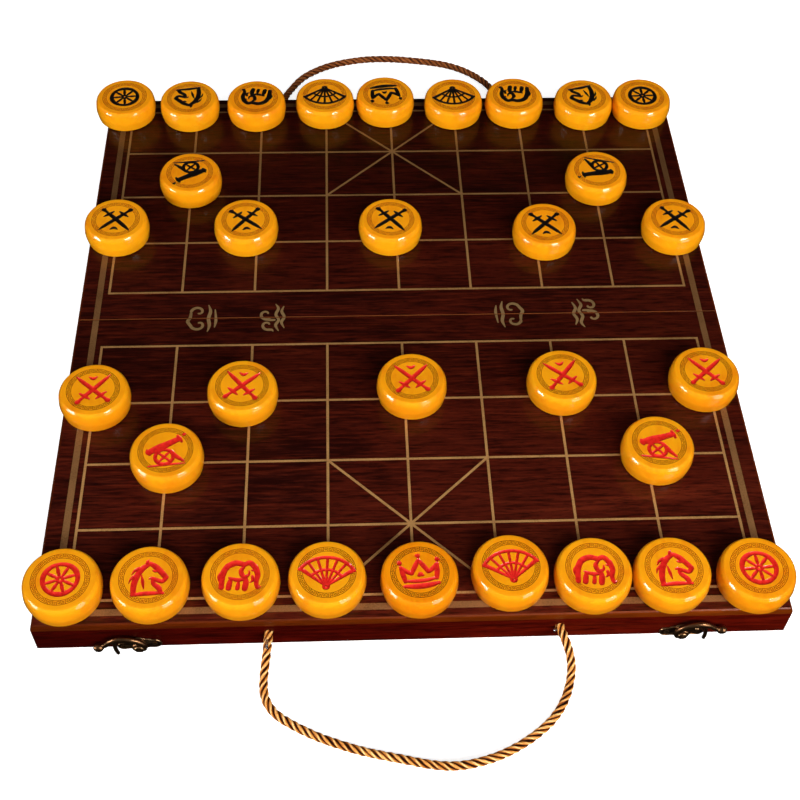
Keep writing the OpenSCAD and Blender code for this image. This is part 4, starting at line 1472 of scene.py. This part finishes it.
PRONG = [(14.6, 9.4, 1.4), (15.2, 6.5, 1.4), (15.6, 2.5, 1.4), (15.4, -3.0, 1.38), (14.8, -6.8, 1.3), (14.3, -8.6, 1.15)]


def hook_mesh(name, s, turn, body, node):
    st = new_store()
    # boss with a raised rim
    add_mesh(st, *lathe([(0, 0), (4.5, 0), (4.95, 0.4), (4.95, 1.6), (4.7, 2.2), (4.2, 2.6), (0, 2.6)], 40))
    # arm: a smooth bar, thick where it leaves the boss, arched over the catch
    add_mesh(st, *tube([(x, y, 1.75 + 0.35 * math.sin(math.pi * i / 10), r * 0.96) for i, (x, y, r) in enumerate(ARM)], 18, 0.72))
    # ball at the thumb end
    add_mesh(st, *ball((25.9, 1.9, 2.2), 3.3, 1.06, 1.0, 0.82))
    # prong that catches the stud
    add_mesh(st, *tube([(x, y, 1.35, r * 0.98) for x, y, r in PRONG], 14))
    f = to_face(s, turn, HOOK_LIFT)
    st["v"] = [f(p) for p in st["v"]]
    ob = from_store(name, st, [M_BRONZE], 180)
    remesh(ob, 0.00022, 3)
    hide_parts(node)
    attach(ob, body)
    return ob


hook_mesh("left_hook_cast", -1, 0.0, "latch_left", "latch_left_hook")
hook_mesh("right_hook_cast", 1, 9.0, "latch_right", "latch_right_hook")

plates, rivets, screws = new_store(), new_store(), new_store()
for s in (-1, 1):
    f = to_face(s, PLATE_TURN[s])
    v, fc = lobed_plate(PLATE_CIRCLES, PLATE_BOX, (0.4, -1.8), PLATE_ROWS)
    add_mesh(plates, [f(p) for p in v], fc)
    # the washer that carries the hook, and the rivet through both
    v, fc = lathe([(0, 0.3), (3.2, 0.3), (3.2, 1.9), (3.0, 2.25), (0, 2.3)], 40)
    add_mesh(plates, [f(p) for p in v], fc)
    v, fc = lathe([(0, 0.2), (1.5, 0.2), (1.5, 5.3), (2.7, 5.3), (3.3, 5.5), (3.4, 5.85), (3.1, 6.25), (2.6, 6.45), (2.35, 6.35),
                   (1.9, 6.5), (1.2, 6.85), (0.6, 7.05), (0, 7.1)], 40)
    add_mesh(rivets, [f(p) for p in v], fc)
    for x, y in LATCH_HOLES:
        v, fc = screw_head(1.85)
        a = 0.5 if x < 0 else 1.1
        v = [(x + p[0] * math.cos(a) - p[1] * math.sin(a), y + p[0] * math.sin(a) + p[1] * math.cos(a), p[2] + 1.02) for p in v]
        add_mesh(screws, [f(p) for p in v], fc)
latch_plates = from_store("latch_plate_castings", plates, [M_BRONZE], 60)
latch_rivets = from_store("latch_pivot_rivets", rivets, [M_BRONZE], 60)
latch_screws = from_store("latch_plate_screws", screws, [M_BRONZE], 40)
for o, nd in ((latch_plates, "latch_plates"), (latch_rivets, "latch_rivets"), (latch_screws, "latch_screws")):
    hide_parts(nd)
    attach(o, "front_half")

cp, cs = new_store(), new_store()
for s in (-1, 1):
    f = to_face(s, front=False, cx=PIVOT_X[s] + STUD_OUT, cz=STUD_Z)
    v, fc = lobed_plate([(-7, 0, 2.9), (7, 0, 2.9), (0, 0, 3.1)], (-7, -2.5, 7, 2.5), (0, 0),
                        [(0.25, 0.0), (0.0, 0.3), (0.0, 0.8), (0.25, 1.15), (0.6, 1.2), (0.9, 1.05), (1.3, 0.95), (30, 0.95)])
    add_mesh(cp, [f(p) for p in v], fc)
    v, fc = lathe([(0, 0.3), (1.9, 0.3), (1.9, 1.1), (1.5, 1.4), (1.5, 5.3), (2.2, 5.3), (2.6, 5.5), (2.6, 6.0), (2.2, 6.22), (0, 6.28)], 36)
    add_mesh(cp, [f(p) for p in v], fc)
    for x in (-7, 7):
        v, fc = screw_head(1.85)
        add_mesh(cs, [f((x + p[0], p[1], p[2] + 1.02)) for p in v], fc)
catch_plates = from_store("catch_plate_castings", cp, [M_BRONZE], 50)
catch_screws = from_store("catch_plate_screws", cs, [M_BRONZE], 40)
for o, nd in ((catch_plates, "catch_plates"), (catch_screws, "catch_screws")):
    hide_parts(nd)
    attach(o, "back_half")

# hinge screws: heads look down, flush with the leaves
for half, sy in (("back", 1), ("front", -1)):
    st = new_store()
    for hx in (-150, 150):
        for i, x in enumerate((-15, 0, 15)):
            v, fc = screw_head(1.85)
            a = 0.4 + 0.7 * i
            add_mesh(st, [((hx + x + p[0] * math.cos(a) - p[1] * math.sin(a)) * MM, (sy * 6.5 + p[0] * math.sin(a) + p[1] * math.cos(a)) * MM, (1.72 - p[2]) * MM) for p in v], fc)
    o = from_store(half + "_hinge_screw_heads", st, [M_BRASS], 40)
    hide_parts("hinge_screws_" + half)
    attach(o, half + "_half")

# ------------------------------------------------------------------ floor and light
floor_mat = Nodes("pale_floor")
floor_mat.set(color=(0.9, 0.9, 0.9), rough=0.9, spec=0.1)
floor_mat.bsdf.inputs["Emission Color"].default_value = (1, 1, 1, 1)
floor_mat.bsdf.inputs["Emission Strength"].default_value = 0.75
floor = make("floor", [(-6, -6, 0), (6, -6, 0), (6, 6, 0), (-6, 6, 0)], [(0, 1, 2, 3)], [floor_mat.mat], None, 0)
floor.visible_diffuse = False
floor.visible_glossy = False

world = bpy.data.worlds.new("studio")
scene.world = world
world.use_nodes = True
wt = world.node_tree
bg = wt.nodes["Background"]
tc = wt.nodes.new("ShaderNodeTexCoord")
sep = wt.nodes.new("ShaderNodeSeparateXYZ")
wt.links.new(tc.outputs["Generated"], sep.inputs[0])


def world_range(sock, a0, a1, b0, b1):
    nd = wt.nodes.new("ShaderNodeMapRange")
    nd.interpolation_type = "SMOOTHSTEP"
    for i, val in zip((1, 2, 3, 4), (a0, a1, b0, b1)):
        nd.inputs[i].default_value = val
    wt.links.new(sock, nd.inputs[0])
    return nd.outputs[0]


sky = world_range(sep.outputs[2], -0.12, 0.25, 0.03, 0.38)
away = world_range(sep.outputs[1], 0.05, 0.35, 1.0, 0.05)
mul = wt.nodes.new("ShaderNodeMath")
mul.operation = "MULTIPLY"
wt.links.new(sky, mul.inputs[0])
wt.links.new(away, mul.inputs[1])
path = wt.nodes.new("ShaderNodeLightPath")
dim = wt.nodes.new("ShaderNodeMath")
dim.operation = "MULTIPLY_ADD"
wt.links.new(path.outputs["Is Glossy Ray"], dim.inputs[0])
dim.inputs[1].default_value = -0.72
dim.inputs[2].default_value = 1.0
both = wt.nodes.new("ShaderNodeMath")
both.operation = "MULTIPLY"
wt.links.new(mul.outputs[0], both.inputs[0])
wt.links.new(dim.outputs[0], both.inputs[1])
wt.links.new(both.outputs[0], bg.inputs[1])
bg.inputs[0].default_value = (1, 0.985, 0.96, 1)


def softbox(name, loc, target, sx, sy, power, glossy=True, diffuse=True):
    ld = bpy.data.lights.new(name, "AREA")
    ld.shape = "RECTANGLE"
    ld.size, ld.size_y = sx, sy
    ld.energy = power
    o = bpy.data.objects.new(name, ld)
    scene.collection.objects.link(o)
    o.location = loc
    d = Vector(target) - Vector(loc)
    o.rotation_euler = d.to_track_quat("-Z", "Y").to_euler()
    o.visible_glossy = glossy
    o.visible_diffuse = diffuse
    return o


softbox("left_softbox", (-2.1, -0.95, 0.52), (0, 0, 0), 0.62, 0.62, 26.5, glossy=False)
softbox("right_softbox", (1.2, -1.45, 1.1), (0, -0.05, 0), 0.6, 0.56, 24.5, glossy=False)
softbox("front_fill", (0.35, -2.1, 1.5), (0, -0.1, 0), 1.1, 1.1, 47, glossy=False)
softbox("left_glint", (-2.6, -1.12, 0.30), (0, 0, 0), 1.2, 0.95, 36, diffuse=False)
softbox("left_core_glint", (-2.6, -1.12, 0.66), (0, 0, 0), 0.9, 0.32, 20, diffuse=False)
softbox("right_glint", (1.38, -1.75, 1.13), (0, 0, 0), 0.9, 0.40, 28, diffuse=False)
softbox("rear_fill", (0.2, 2.6, 0.3), (0, 0.2, 0), 1.6, 0.8, 12, glossy=False)
softbox("right_low_glint", (1.45, -1.82, 0.12), (0, 0, 0), 1.0, 0.9, 12, diffuse=False)

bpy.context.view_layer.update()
